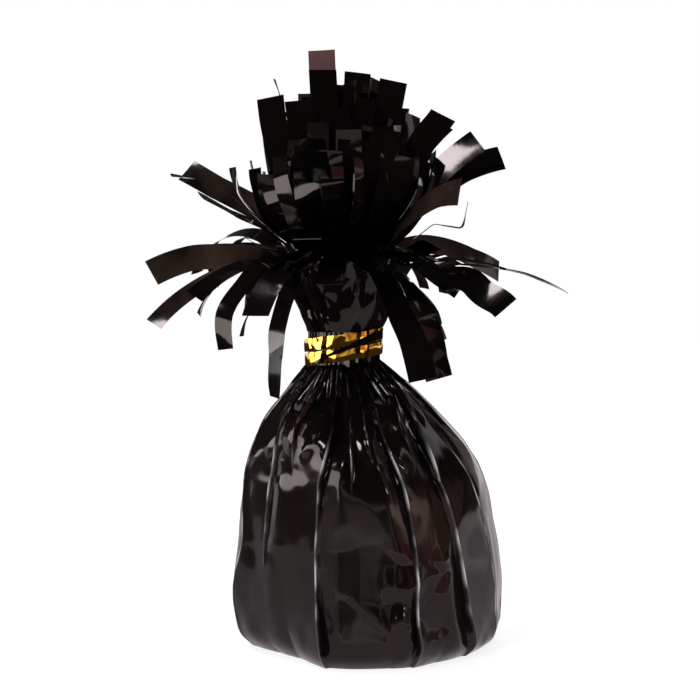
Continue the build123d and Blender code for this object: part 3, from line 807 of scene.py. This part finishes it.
def panelled(folds, azimuth, height):
    """The share of the round radius that flat panels between the folds keep."""
    turns = azimuth - fold_azimuths(folds, height)
    since = np.min(turns % FULL_TURN, axis=0)
    until = np.min(-turns % FULL_TURN, axis=0)
    half = np.radians(since + until) / 2
    off = np.radians(since - until) / 2
    return 1 - PANEL_FLATNESS * (1 - np.cos(half) / np.cos(off))


def folded(azimuth, height, radius):
    """How far the folds change the surface, a fine bead down each ridge and a groove beside it, and
    how much painted highlight each point gets along the ridges."""
    lift, rub = np.zeros_like(azimuth), np.zeros_like(azimuth)
    deeper = 0.85 + 0.3 * ease(*GROOVES_DEEPEN, height) - 0.75 * ease(*GROOVES_CLOSE, height)
    highlight_span = ease(*PAINTED_HIGHLIGHT_STARTS, height) * (1 - ease(*PAINTED_HIGHLIGHT_ENDS, height))
    for number, (fold, ridge) in enumerate(zip(FOLDS, fold_azimuths(FOLDS, height))):
        away = np.radians(turn_from(azimuth, ridge)) * radius * fold.side
        wall = np.clip(away / GROOVE_WALL, 0, 1)
        slope = np.clip(1 - (away - GROOVE_WALL) / fold.width, 0, 1)
        present = ease(fold.end, fold.end + FOLD_FADE, height)
        uneven = 0.85 + 0.3 * np.sin(height / 6.5 + 2.4 * number)
        bead = np.clip(1 - np.abs(away) / BEAD_WIDTH, 0, 1)
        lift += present * uneven * (BEAD_RISE * bead - fold.depth * deeper * wall * slope)
        # Painted highlight along each ridge, patchy up its length and only between two heights
        highlight_amount = 0.3 + np.sin(height / 3.7 + 5.1 * number) * np.sin(height / 1.9 + 1.3 * number)
        line = np.clip(1 - np.abs(away) / PAINTED_HIGHLIGHT_WIDTH, 0, 1)
        rub += present * line * np.clip(highlight_amount, 0.08, 1) * highlight_span
    return lift, np.clip(rub, 0, 1)


def body_at(along):
    """Height, offset and radius of the round body at places along its outline."""
    return (smooth_through(BODY_RUN, [part.height for part in BODY], along),
            smooth_through(BODY_RUN, [part.offset for part in BODY], along),
            smooth_through(BODY_RUN, [part.radius for part in BODY], along))


def skirt_reach(azimuth, height, radius, foot):
    """How far the creased film stands out from the body's axis, and how much painted highlight it gets.
    """
    turn = np.radians(azimuth)
    lift = creased(azimuth, height, radius, SKIRT_CREASES)
    lift += wobble(azimuth, height) * ease(*WAVES_START, height) * (1 - ease(*WAVES_END, height))
    lift += crumpled(azimuth, height, BODY_FACETS)
    shoulder = ease(*SHOULDER_STARTS, height) * (1 - 0.6 * ease(*SHOULDER_ENDS, height))
    lift += shoulder * sum(crumpled(azimuth, height, facets) for facets in SHOULDER_FACETS)
    corner = ease(*CORNER_STARTS, azimuth) * (1 - ease(*CORNER_STOPS, azimuth))
    corner = corner * (1 - ease(*CORNER_ENDS, height))
    rim = 1 - ease(*RIM_ENDS, height)
    lift += (CORNER_DEPTH * corner + RIM_DEPTH * rim) * crumpled(azimuth, height, RIM_FACETS)
    gather_foot = GATHER_FOOT + 2 * np.sin(4 * turn + 1) + 2 * np.sin(9 * turn + 2)
    gather = GATHER_DEPTH * ease(gather_foot, gather_foot + GATHER_RISE, height)
    lift += gather * (gathered(azimuth) - GATHER_LEVEL)
    folds, rub = folded(azimuth, height, radius)
    lift += folds
    lift *= 0.35 + 0.65 * ease(*BASE_ENDS, height)
    lift += foot * (1 - ease(*FOOT_ENDS, height))
    long_folds = [fold for fold in FOLDS if fold.end == LONG]
    few, many = panelled(long_folds, azimuth, height), panelled(FOLDS, azimuth, height)
    return radius * (few + (many - few) * ease(*PLEATS_START, height)) + lift, rub


class WEIGHT_OT_skirt(bpy.types.Operator):
    """Wraps the pleated film round the sand, from the base up to the tie"""

    bl_idname = "weight.skirt"
    bl_label = "Film Skirt"

    def execute(self, context):
        rows = WALL_ROWS + BASE_ROWS
        sheet, around, up = lay_sheet("film_skirt", COLUMNS_PER_FOLD * len(FOLDS), rows)
        level = up * rows
        wall = np.clip((level - BASE_ROWS) / WALL_ROWS, 0, 1)
        inward = np.clip(level / BASE_ROWS, 0, 1)
        height, offset, radius = body_at(wall * BODY_RUN[-1])
        height = np.maximum(height, 0)
        azimuth, foot = down_the_folds(around, height)
        reach, rub = skirt_reach(azimuth, height, radius, foot)
        tilt = math.tan(context.scene.weight_tie.tilt) * ease(*TILT_STARTS, height)
        thickness = context.scene.weight_film.thickness
        shape_round(sheet, azimuth, reach * inward, height + thickness / MM / 2, offset, tilt)
        # Painted highlight along the folds, stored on the points for the film's colour
        highlight_amount = sheet.data.attributes.new(PAINTED_HIGHLIGHT, "FLOAT", "POINT")
        highlight_amount.data.foreach_set("value", rub.astype(np.float32))
        close_seams(sheet)
        thicken(sheet, thickness)
        dress(sheet, film(HIGHLIGHTED_STRETCHED), BODY_NAME, "foil_skirt")
        return {"FINISHED"}


class WEIGHT_OT_neck(bpy.types.Operator):
    """Packs the film in folds inside the tie"""

    bl_idname = "weight.neck"
    bl_label = "Packed Neck"

    def execute(self, context):
        sheet, around, up = lay_sheet("film_neck", 360, 12)
        azimuth = around * FULL_TURN - FULL_TURN / 2
        height = NECK_FOOT - LAP_BELOW + up * (NECK_TOP - NECK_FOOT + LAP_BELOW + LAP_ABOVE)
        reach = NECK_RADIUS - NECK_INSET + NECK_PLEAT * (gathered(azimuth) - NECK_LEVEL)
        shape_round(sheet, azimuth, reach, height)
        close_seams(sheet)
        dress(sheet, film(), BODY_NAME, "foil_neck")
        return {"FINISHED"}


# Layers of gathered film above the tie: radius at the foot and the rim, height of the rim, folds and
# their depth, how deep the film is crumpled, whether it is closed at the top, seed and rows of faces
Layer = namedtuple("Layer", "foot rim height folds depth crumple closed seed rows")
COLLAR = {
    "collar_hem": Layer(8.3, 15.2, 84.7, 7, 0.7, 1.0, False, 21, 72),
    "collar_middle": Layer(6.7, 12.2, 87.2, 7, 0.6, 0.6, False, 22, 36),
    "collar_inner": Layer(5.1, 8.7, 89.2, 6, 0.4, 0.5, False, 23, 36),
    "collar_core": Layer(3.4, 5.6, 90.4, 5, 0.3, 0.3, True, 24, 36),
}
COLLAR_COLUMNS = 300
COLLAR_GIRTH = 70
COLLAR_LAP = 0.4
CLOSED_FROM = 0.9


class WEIGHT_OT_collar(bpy.types.Operator):
    """Flares the gathered film above the tie, layer inside layer"""

    bl_idname = "weight.collar"
    bl_label = "Gathered Collar"

    def execute(self, context):
        for node, layer in COLLAR.items():
            sheet, around, up = lay_sheet(f"film_{node}", COLLAR_COLUMNS, layer.rows)
            azimuth = around * FULL_TURN - FULL_TURN / 2
            turn = np.radians(azimuth)
            top = CLOSED_FROM if layer.closed else 1.0
            share = np.clip(up / top, 0, 1)
            foot = NECK_TOP - COLLAR_LAP
            height = foot + share * (layer.height - foot)
            radius = layer.foot + (layer.rim - layer.foot) * (0.25 * share**2 + 0.75 * share)
            coarse = Facets(layer.crumple, COLLAR_GIRTH, 6.0, 8.0, layer.seed)
            fine = Facets(0.45 * layer.crumple, COLLAR_GIRTH, 2.6, 3.6, layer.seed + 10)
            lift = crumpled(azimuth, height, coarse) + crumpled(azimuth, height, fine)
            warped = turn + 0.18 * np.sin(2 * turn + layer.seed) + 0.12 * np.sin(5 * turn)
            sway = 0.25 * np.sin(3 * turn + 4 * share)
            ripple = zigzag((warped + sway) * layer.folds / (2 * math.pi))
            lift = lift * ease(0, 0.25, share) + layer.depth * (ripple - 0.4) * (0.25 + 0.75 * share)
            reach = radius + lift
            if layer.closed:
                reach = reach * np.clip((1 - up) / (1 - top), 0, 1)
            shape_round(sheet, azimuth, reach, height)
            close_seams(sheet)
            dress(sheet, film(), BODY_NAME, node)
        return {"FINISHED"}


def strip_mesh(name, strip, seed, kinks=None, ripple=(0, 1)):
    """Makes one strip of film: bent from its root, turned about its length and a little creased."""
    fringe = bpy.context.scene.weight_fringe
    draw = random.Random(seed)
    sheet, across, along = lay_sheet(name, STRIP_COLUMNS, STRIP_ROWS)
    length = fringe.slit_length / MM * strip.share
    width = getattr(fringe, strip.width) / MM
    tuck = ROOT_TUCK / length
    steps = np.linspace(-tuck, 1, STRIP_ROWS + 1)
    share = np.clip(steps, 0, 1)
    angle = strip.launch + (strip.tip - strip.launch) * share
    if kinks:
        angle = np.interp(share, *zip(*kinks))
    angle = angle + ripple[0] * np.sin(2 * math.pi * ripple[1] * share)
    first, second = spread(*FIRST_DENT, draw), spread(*SECOND_DENT, draw)
    dent = spread(*DENT_TURN, draw)
    dented = (ease(first - DENT_REACH, first + DENT_REACH, steps)
              - ease(second - DENT_REACH, second + DENT_REACH, steps))
    angle = np.radians(angle + dent * dented)
    step = length * (1 + tuck) / STRIP_ROWS
    middle = (angle[:-1] + angle[1:]) / 2
    reach = np.concatenate([[0], np.cumsum(np.cos(middle) * step)])
    rise = np.concatenate([[0], np.cumsum(np.sin(middle) * step)])
    root = np.argmin(np.abs(steps))
    reach, rise = reach - reach[root], rise - rise[root]
    row = np.rint(along * STRIP_ROWS).astype(int)
    face = np.radians(strip.face_root + (strip.face_tip - strip.face_root) * share
                      + spread(*FACE_SWAY, draw) * np.sin(math.pi * share))
    turn = math.radians(strip.azimuth)
    outward = np.array([math.cos(turn), math.sin(turn), 0])
    level = np.array([-math.sin(turn), math.cos(turn), 0])
    upward = np.array([0, 0, 1.0])
    start = np.array([NECK_OFFSET, 0, strip.ring.height]) + outward * strip.ring.radius
    above = np.outer(np.cos(angle), upward) - np.outer(np.sin(angle), outward)
    sideways = np.outer(np.cos(face), level) + above * np.sin(face)[:, None]
    normal = -np.outer(np.sin(face), level) + above * np.cos(face)[:, None]
    centre = start + np.outer(reach, outward) + np.outer(rise, upward)
    side = across - 0.5
    camber = spread(*CAMBER, draw)
    depth = spread(*WAVE_DEPTH, draw)
    wave = depth * np.sin(spread(*WAVE_NUMBER, draw) * steps[row] + spread(*WAVE_START, draw))
    lift = camber * (side**2 - 1 / 12) * share[row] + wave * side * 2 * share[row]
    skew = spread(*END_SKEW, draw) * width * side * ease(SKEWED_FROM, 1, steps[row])
    heading = np.outer(np.cos(angle), outward) + np.outer(np.sin(angle), upward)
    places = (centre[row] + sideways[row] * (side * width)[:, None] + normal[row] * lift[:, None]
              + heading[row] * skew[:, None])
    shape_sheet(sheet, *places.T)
    thicken(sheet, bpy.context.scene.weight_film.thickness)
    return sheet


def loose_strip(ring, azimuth, side, loose, draw):
    """A strip to one side of an azimuth, drawn between limits."""
    face = spread(*loose.faces, draw)
    return Strip(
        ring, azimuth + side * spread(*loose.turns, draw), spread(*loose.launches, draw),
        spread(*loose.tips, draw), face, face + spread(*FACE_CHANGE, draw),
        spread(*loose.shares, draw), WIDE)


def companions(name, strip, number):
    """Shorter strips that stand beside one strip and move with it."""
    draw = random.Random(COMPANION_SEED + number)
    made = [BESIDE_STRIPS[name]] if name in BESIDE_STRIPS else []
    if strip.ring in (MIDDLE, INNER):
        for side in (-1, 1):
            ring = Ring(INNER.radius + spread(*RING_OUT, draw), INNER.height + spread(*RING_UP, draw))
            made.append(loose_strip(ring, strip.azimuth, side, STEEP_STRIPS, draw))
    if "front" in name:
        made.extend(loose_strip(HEM, strip.azimuth, side, FLAT_STRIPS, draw) for side in (-1, 1))
    elif strip.ring == HEM:
        lifted = spread(*COPY_LIFT, draw)
        made.append(strip._replace(
            azimuth=strip.azimuth + spread(*COPY_TURN, draw), launch=strip.launch + lifted,
            tip=strip.tip + lifted, face_root=strip.face_root + spread(*COPY_FACE, draw),
            face_tip=strip.face_tip + spread(*COPY_FACE, draw),
            share=strip.share * spread(*COPY_SHARE, draw)))
    return made


class WEIGHT_OT_strips(bpy.types.Operator):
    """Makes the strips that stand out from the collar, each on its own body"""

    bl_idname = "weight.strips"
    bl_label = "Fringe Strips"

    def execute(self, context):
        for number, (name, strip) in enumerate(OUTER_STRIPS.items()):
            ripple = RIPPLES.get(name, (0, 1))
            seed = BESIDE_SEED + 10 * number
            main = strip_mesh(f"fringe_{name}", strip, STRIP_SEED + number, KINKS.get(name), ripple)
            others = [strip_mesh(f"beside_{name}", other, seed + place)
                      for place, other in enumerate(companions(name, strip, number))]
            main.data.materials.append(film(PAINTED_BROWN_FILM if name in PAINTED_BROWN_STRIPS else SHINY))
            for other in others:
                other.data.materials.append(film())
            piece = join([main, *others], f"fringe_{name}")
            dress(piece, None, name, f"strip_{name}")
        return {"FINISHED"}


def crown_filling():
    """Strips that fill the tuft between those that show at its edge."""
    draw = random.Random(FILLING_SEED)
    made = []
    for ring, step, launches, tips, shares in CROWN_FILLING:
        loose = Loose((-step / 3, step / 3), launches, tips, CROWN_FACES, shares)
        made.extend(loose_strip(ring, azimuth, 1, loose, draw) for azimuth in range(-180, 180, step))
    return made


class WEIGHT_OT_crown(bpy.types.Operator):
    """Makes the upright tuft of strips in the middle of the fringe"""

    bl_idname = "weight.crown"
    bl_label = "Crown Tuft"

    def execute(self, context):
        pieces = []
        for number, strip in enumerate([*CROWN_STRIPS, *crown_filling()]):
            piece = strip_mesh(f"crown_{number}", strip, CROWN_SEED + number)
            piece.data.materials.append(film(PAINTED_TIP_FILM if number in PAINTED_TIP_CROWN else SHINY))
            pieces.append(piece)
        tuft = join(pieces, "crown_tuft")
        dress(tuft, None, "crown", "crown_strips")
        return {"FINISHED"}


# The ribbon's fine creases and facets, how far it stands off the neck, how far its edges bow in, how
# far out its upper end lies, and the waves in its edges
TIE_CREASES = Region(
    60, (-180, 180), (NECK_FOOT, NECK_TOP), (-14, 14), (1.5, 4.0), (0.9, 2.4), (-0.17, 0.13))
TIE_FACETS = Facets(0.06, 55, 3.2, 2.4, 32)
TIE_STAND_OFF, TIE_BOW, TIE_OVERLAP, TIE_WAVE = 0.45, 0.35, 0.12, 0.10


class WEIGHT_OT_tie(bpy.types.Operator):
    """Winds the gold ribbon round the neck"""

    bl_idname = "weight.tie"
    bl_label = "Gold Tie"

    def execute(self, context):
        tie = context.scene.weight_tie
        pitch, width = tie.pitch / MM, tie.width / MM
        sheet, along, across = lay_sheet("gold_ribbon_tie", 640, 10)
        azimuth = 90 + along * tie.turns * FULL_TURN
        foot = (NECK_FOOT + NECK_TOP - tie.turns * pitch) / 2
        height = foot + pitch * along * tie.turns
        turn = np.radians(azimuth)
        side = across - 0.5
        level = height + side * width
        radius = NECK_RADIUS + TIE_STAND_OFF
        lift = creased(azimuth, level, radius, scatter(TIE_CREASES, random.Random(TIE_SEED)))
        lift += crumpled(azimuth, level, TIE_FACETS)
        lift += -TIE_BOW * side**2 + TIE_OVERLAP * along
        edge = TIE_WAVE * np.sin(9 * turn + 2 * along) * np.sign(side)
        level = height + side * (width + edge)
        shape_round(sheet, azimuth, radius + lift, level, tilt=math.tan(tie.tilt))
        thicken(sheet, tie.thickness)
        dress(sheet, gold(), BODY_NAME, "gold_tie")
        return {"FINISHED"}


# The ribbon's ends: half turns of their twist, share of the solid that they fill, and how far their tips
# fan out
TWIST_HALF_TURNS, TWIST_FILL, TWIST_FAN = 3.0, 0.98, 0.6


class WEIGHT_OT_twist(bpy.types.Operator):
    """Twists the ribbon's two ends together behind the neck"""

    bl_idname = "weight.twist"
    bl_label = "Twisted Ends"

    def execute(self, context):
        low, high = (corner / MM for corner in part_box("tie_twist"))
        middle = (low + high) / 2
        pieces = []
        for end in (0, 1):
            sheet, across, along = lay_sheet(f"twist_{end}", 6, 60)
            turn = math.pi * (TWIST_HALF_TURNS * along + 0.5 * end)
            side = (across - 0.5) * (high.x - low.x) * TWIST_FILL
            fan = TWIST_FAN * (end - 0.5) * ease(0.75, 1, along)
            x = middle.x + side * np.cos(turn) + fan
            z = middle.z + side * np.sin(turn) + 0.15 * np.sin(9 * along + end)
            shape_sheet(sheet, x, low.y + (high.y - low.y) * along, z)
            thicken(sheet, context.scene.weight_tie.thickness * 1.5)
            pieces.append(sheet)
        dress(join(pieces, "gold_twisted_ends"), gold(), BODY_NAME, "tie_twist")
        return {"FINISHED"}


# The sliver: azimuth of its thin end and its turn, width there and what it gains, how far it stands off
# the neck, and height of its thin end above the neck's foot and what it climbs
SLIVER_START, SLIVER_TURN = -132, 110
SLIVER_WIDTH, SLIVER_GAIN = 0.5, 1.7
SLIVER_STAND_OFF, SLIVER_FOOT, SLIVER_CLIMB = 1.0, 0.6, 5.6


class WEIGHT_OT_sliver(bpy.types.Operator):
    """Lays the stray sliver of film across the front of the tie"""

    bl_idname = "weight.sliver"
    bl_label = "Stray Sliver"

    def execute(self, context):
        sheet, across, along = lay_sheet("film_sliver", 6, 60)
        azimuth = SLIVER_START + SLIVER_TURN * along
        width = SLIVER_WIDTH + SLIVER_GAIN * along**1.5
        side = across - 0.5
        reach = NECK_RADIUS + SLIVER_STAND_OFF + 0.12 * np.sin(14 * along) + 0.25 * side * along
        height = NECK_FOOT + SLIVER_FOOT + SLIVER_CLIMB * along**0.75 + side * width
        shape_round(sheet, azimuth, reach, height, tilt=math.tan(context.scene.weight_tie.tilt))
        thicken(sheet, context.scene.weight_film.thickness)
        dress(sheet, film(), BODY_NAME, "stray_sliver")
        return {"FINISHED"}


# What the skirt holds: the node, its name, how far it keeps inside the skirt, the depth of its creases,
# and how far below its top its shoulder lies
Content = namedtuple("Content", "node name inset crease crown")
POUCH = Content("sand_bag", "clear_film_pouch", 0.9, 0.4, 7.0)
SAND = Content("sand_fill", "loose_sand", 2.0, 0.2, 2.5)
# Shares of a filling's rows that make its base and its wall, the rest being its top
BASE_SHARE, WALL_SHARE = 0.12, 0.6
# Where the skirt's inside is measured round each point of a filling: degrees and millimetres
CONTENT_SHIFTS = ((-4, 0), (4, 0), (0, 0), (-2, 2), (2, -2), (-2, -2), (2, 2))
# Height at which the feet of the folds are measured
FOOT_LEVEL = 6.0


def content_mesh(content):
    """A rounded filling that follows the skirt's inside from its base to its top."""
    low, high = (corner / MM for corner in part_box(content.node))
    sheet, around, up = lay_sheet(content.name, 180, 60)
    wall = np.clip((up - BASE_SHARE) / WALL_SHARE, 0, 1)
    top = np.clip((up - BASE_SHARE - WALL_SHARE) / (1 - BASE_SHARE - WALL_SHARE), 0, 1)
    azimuth = around * FULL_TURN - FULL_TURN / 2
    height = low.z + (high.z - content.crown - low.z) * wall
    levels, offsets, radii = body_at(np.linspace(0, BODY_RUN[-1], 200))
    around_folds = np.linspace(0, 1, 721)[:-1]
    azimuths, feet = down_the_folds(around_folds, np.full_like(around_folds, FOOT_LEVEL))
    order = np.argsort(azimuths % FULL_TURN)
    inside = np.full_like(azimuth, np.inf)
    for turned, raised in CONTENT_SHIFTS:
        at = np.clip(height + raised, 0, None)
        radius = np.interp(at, levels, radii)
        foot = np.interp((azimuth + turned) % FULL_TURN, (azimuths % FULL_TURN)[order], feet[order])
        reach, _ = skirt_reach(azimuth + turned, at, radius, np.minimum(foot, 0))
        inside = np.minimum(inside, reach)
    facets = Facets(content.crease, 170, 6, 9, 41)
    inside = inside - content.inset - content.crease - crumpled(azimuth, height, facets)
    dome = np.sqrt(np.clip(1 - top**2, 0, 1))
    reach = inside * np.clip(up / BASE_SHARE, 0, 1) * dome
    height = height + content.crown * (1 - dome)
    shape_round(sheet, azimuth, reach, height, np.interp(height, levels, offsets))
    close_seams(sheet)
    return sheet


class WEIGHT_OT_contents(bpy.types.Operator):
    """Fills the skirt with a clear pouch of sand"""

    bl_idname = "weight.contents"
    bl_label = "Pouch and Sand"

    def execute(self, context):
        pouch = content_mesh(POUCH)
        thicken(pouch, context.scene.weight_film.thickness / 2)
        dress(pouch, clear_pouch(), BODY_NAME, POUCH.node)
        dress(content_mesh(SAND), dry_sand(), BODY_NAME, SAND.node)
        return {"FINISHED"}


def seen_directly(tree):
    """1 for rays that show a surface as it is: from the camera, off gloss or through clear film."""
    path = tree.nodes.new("ShaderNodeLightPath")
    seen = path.outputs["Is Camera Ray"]
    for ray in ("Is Glossy Ray", "Is Transmission Ray"):
        either = node_of(tree, "ShaderNodeMath", seen, path.outputs[ray])
        either.operation = "MAXIMUM"
        seen = either.outputs[0]
    return seen


def bare_material(name):
    """A new material with an empty tree."""
    material = bpy.data.materials.new(name)
    material.use_nodes = True
    material.node_tree.nodes.clear()
    return material, material.node_tree


def floor_material():
    """White floor that keeps a faint shadow."""
    material, tree = bare_material("studio_floor")
    plain, faint = (node_of(tree, "ShaderNodeBsdfDiffuse", Color=(grey, grey, grey, 1))
                    for grey in (FLOOR_GREY, FLOOR_SHADE))
    white = node_of(tree, "ShaderNodeEmission", Color=(1, 1, 1, 1), Strength=FLOOR_GLOW)
    both = node_of(tree, "ShaderNodeAddShader", faint.outputs[0], white.outputs[0])
    choose = node_of(tree, "ShaderNodeMixShader", seen_directly(tree), plain.outputs[0], both.outputs[0])
    node_of(tree, "ShaderNodeOutputMaterial", Surface=choose.outputs[0])
    return material


def card_surface(tone):
    """A material that only glows in one tone, with its tree, its glow and its output."""
    material, tree = bare_material("studio_card")
    glow = node_of(tree, "ShaderNodeEmission", Color=(*tone, 1), Strength=1.0)
    output = node_of(tree, "ShaderNodeOutputMaterial", Surface=glow.outputs[0])
    return material, tree, glow, output


def fading_card(card):
    """A material that darkens from a card's middle to its top."""
    material, tree, glow, _ = card_surface(card.tone)
    split = node_of(tree, "ShaderNodeSeparateXYZ", own_place(tree))
    fade = node_of(tree, "ShaderNodeMapRange", Value=split.outputs["Z"], To_Min=1.0, To_Max=CARD_FADE,
                   From_Min=(card.foot + card.top) / 2, From_Max=card.top)
    set_inputs(tree, glow, Strength=fade.outputs["Result"])
    return material


def clear_where(tree, glow, output, share):
    """Makes a card clear by a share."""
    clear = tree.nodes.new("ShaderNodeBsdfTransparent")
    choose = node_of(tree, "ShaderNodeMixShader", share, glow.outputs[0], clear.outputs[0])
    set_inputs(tree, output, Surface=choose.outputs[0])


def card_from_above(tone):
    """A material for a card that is clear from below."""
    material, tree, glow, output = card_surface(tone)
    side = tree.nodes.new("ShaderNodeNewGeometry")
    clear_where(tree, glow, output, side.outputs["Backfacing"])
    return material


def round_patch(tone, radius):
    """A material for a card that fades out from half a radius to the whole of it."""
    material, tree, glow, output = card_surface(tone)
    length = node_of(tree, "ShaderNodeVectorMath", own_place(tree))
    length.operation = "LENGTH"
    fade = node_of(tree, "ShaderNodeMapRange", Value=length.outputs["Value"],
                   From_Min=radius / 2, From_Max=radius)
    fade.interpolation_type = "SMOOTHSTEP"
    clear_where(tree, glow, output, fade.outputs["Result"])
    return material


def add_card(name, corners, material):
    """A studio card that only reflections see."""
    bpy.ops.object.select_all(action="DESELECT")
    bpy.ops.mesh.primitive_plane_add(size=1)
    card = bpy.context.object
    card.name = name
    for vertex, corner in zip(card.data.vertices, corners):
        vertex.co = corner
    card.data.materials.append(material)
    card.visible_camera = False
    card.visible_diffuse = False
    card.visible_transmission = False
    card.visible_shadow = False


def add_standing_card(name, card, radius, fading):
    """A card that stands upright at a radius from the object."""
    sides = [math.radians(card.azimuth + side * card.half_width) for side in (-1, 1)]
    feet = [(radius * math.cos(side), radius * math.sin(side)) for side in sides]
    corners = [(*foot, height) for height in (card.foot, card.top) for foot in feet]
    add_card(name, corners, fading_card(card) if fading else card_surface(card.tone)[0])


def level_corners(left, near, right, far, height):
    """The corners of a level card."""
    return [(x, y, height) for y in (near, far) for x in (left, right)]


def add_lamp(name, lamp, aim):
    """A soft rectangular lamp, turned to a point."""
    bpy.ops.object.light_add(type="AREA", location=lamp.place)
    light = bpy.context.object
    light.name = name
    light.data.shape = "RECTANGLE"
    light.data.size, light.data.size_y = lamp.size
    light.data.energy = lamp.power
    light.data.color = lamp.colour
    light.rotation_euler = (aim - light.location).to_track_quat("-Z", "Y").to_euler()


def white_surround():
    """A world that is white where it is seen, and weaker as light."""
    world = bpy.data.worlds.new("studio_surround")
    world.use_nodes = True
    tree = world.node_tree
    strength = node_of(tree, "ShaderNodeMapRange", Value=seen_directly(tree),
                       To_Min=SURROUND_LIGHT, To_Max=SURROUND_SEEN)
    set_inputs(tree, tree.nodes["Background"], Color=(1, 1, 1, 1), Strength=strength.outputs["Result"])
    return world


class WEIGHT_OT_stage(bpy.types.Operator):
    """Sets up the floor, the cards, the lamps, the white surround and the camera"""

    bl_idname = "weight.stage"
    bl_label = "Studio Stage"

    def execute(self, context):
        scene = context.scene
        scene.view_settings.view_transform = "Standard"
        bpy.ops.object.select_all(action="DESELECT")
        bpy.ops.mesh.primitive_plane_add(size=FLOOR_SIZE)
        floor = context.object
        floor.name = "studio_floor"
        floor.data.materials.append(floor_material())
        for kind, (cards, radius) in STANDING_CARDS.items():
            for number, card in enumerate(cards):
                add_standing_card(f"studio_{kind}_{number}", card, radius, fading=cards is CARDS)
        wide, broad = FLOOR_RADIUS, CARD_RADIUS
        add_card("studio_floor_card", level_corners(-wide, -wide, wide, wide, FLOOR_CARD_HEIGHT),
                 round_patch(FLOOR_TONE, FLOOR_RADIUS))
        add_card("studio_ceiling", level_corners(-broad, -broad, broad, broad, CEILING_HEIGHT),
                 card_surface(CEILING_TONE)[0])
        for number, edges in enumerate(FLAGS):
            add_card(f"studio_flag_{number}", level_corners(*edges, FLAG_HEIGHT),
                     card_from_above(FLAG_TONE))
        low, high = CAD_BOX
        middle = (low + high) / 2
        for name, lamp in LAMPS.items():
            add_lamp(name, lamp, middle)
        scene.world = white_surround()
        bpy.ops.object.camera_add(location=CAMERA_PLACE, rotation=(CAMERA_PITCH, 0, 0))
        camera = context.object
        camera.data.sensor_width = CAMERA_SENSOR
        camera.data.lens = CAMERA_LENS
        camera.data.clip_start = CAMERA_NEAR
        scene.camera = camera
        return {"FINISHED"}


class WEIGHT_PT_panel(bpy.types.Panel):
    """Lists the pieces of the balloon weight and their settings."""

    bl_idname = "WEIGHT_PT_panel"
    bl_label = "Balloon Weight"
    bl_space_type = "VIEW_3D"
    bl_region_type = "UI"
    bl_category = "Balloon Weight"

    def draw(self, context):
        for group in (context.scene.weight_film, context.scene.weight_fringe, context.scene.weight_tie):
            box = self.layout.box()
            for name in group.__annotations__:
                box.prop(group, name)
        for operator in OPERATORS:
            self.layout.operator(operator.bl_idname)


SETTINGS = {"weight_film": FilmSettings, "weight_fringe": FringeSettings, "weight_tie": TieSettings}
OPERATORS = (
    WEIGHT_OT_stage, WEIGHT_OT_contents, WEIGHT_OT_skirt, WEIGHT_OT_neck, WEIGHT_OT_collar,
    WEIGHT_OT_strips, WEIGHT_OT_crown, WEIGHT_OT_tie, WEIGHT_OT_twist, WEIGHT_OT_sliver,
)
CLASSES = (*SETTINGS.values(), *OPERATORS, WEIGHT_PT_panel)


def register():
    for one in CLASSES:
        bpy.utils.register_class(one)
    for name, group in SETTINGS.items():
        setattr(bpy.types.Scene, name, PointerProperty(type=group))


def unregister():
    for name in SETTINGS:
        delattr(bpy.types.Scene, name)
    for one in reversed(CLASSES):
        bpy.utils.unregister_class(one)


def main():
    """Builds every piece in order."""
    register()
    bpy.ops.weight.stage()
    bpy.ops.weight.contents()
    bpy.ops.weight.skirt()
    bpy.ops.weight.neck()
    bpy.ops.weight.collar()
    bpy.ops.weight.strips()
    bpy.ops.weight.crown()
    bpy.ops.weight.tie()
    bpy.ops.weight.twist()
    bpy.ops.weight.sliver()
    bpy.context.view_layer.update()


if __name__ == "__main__":
    main()
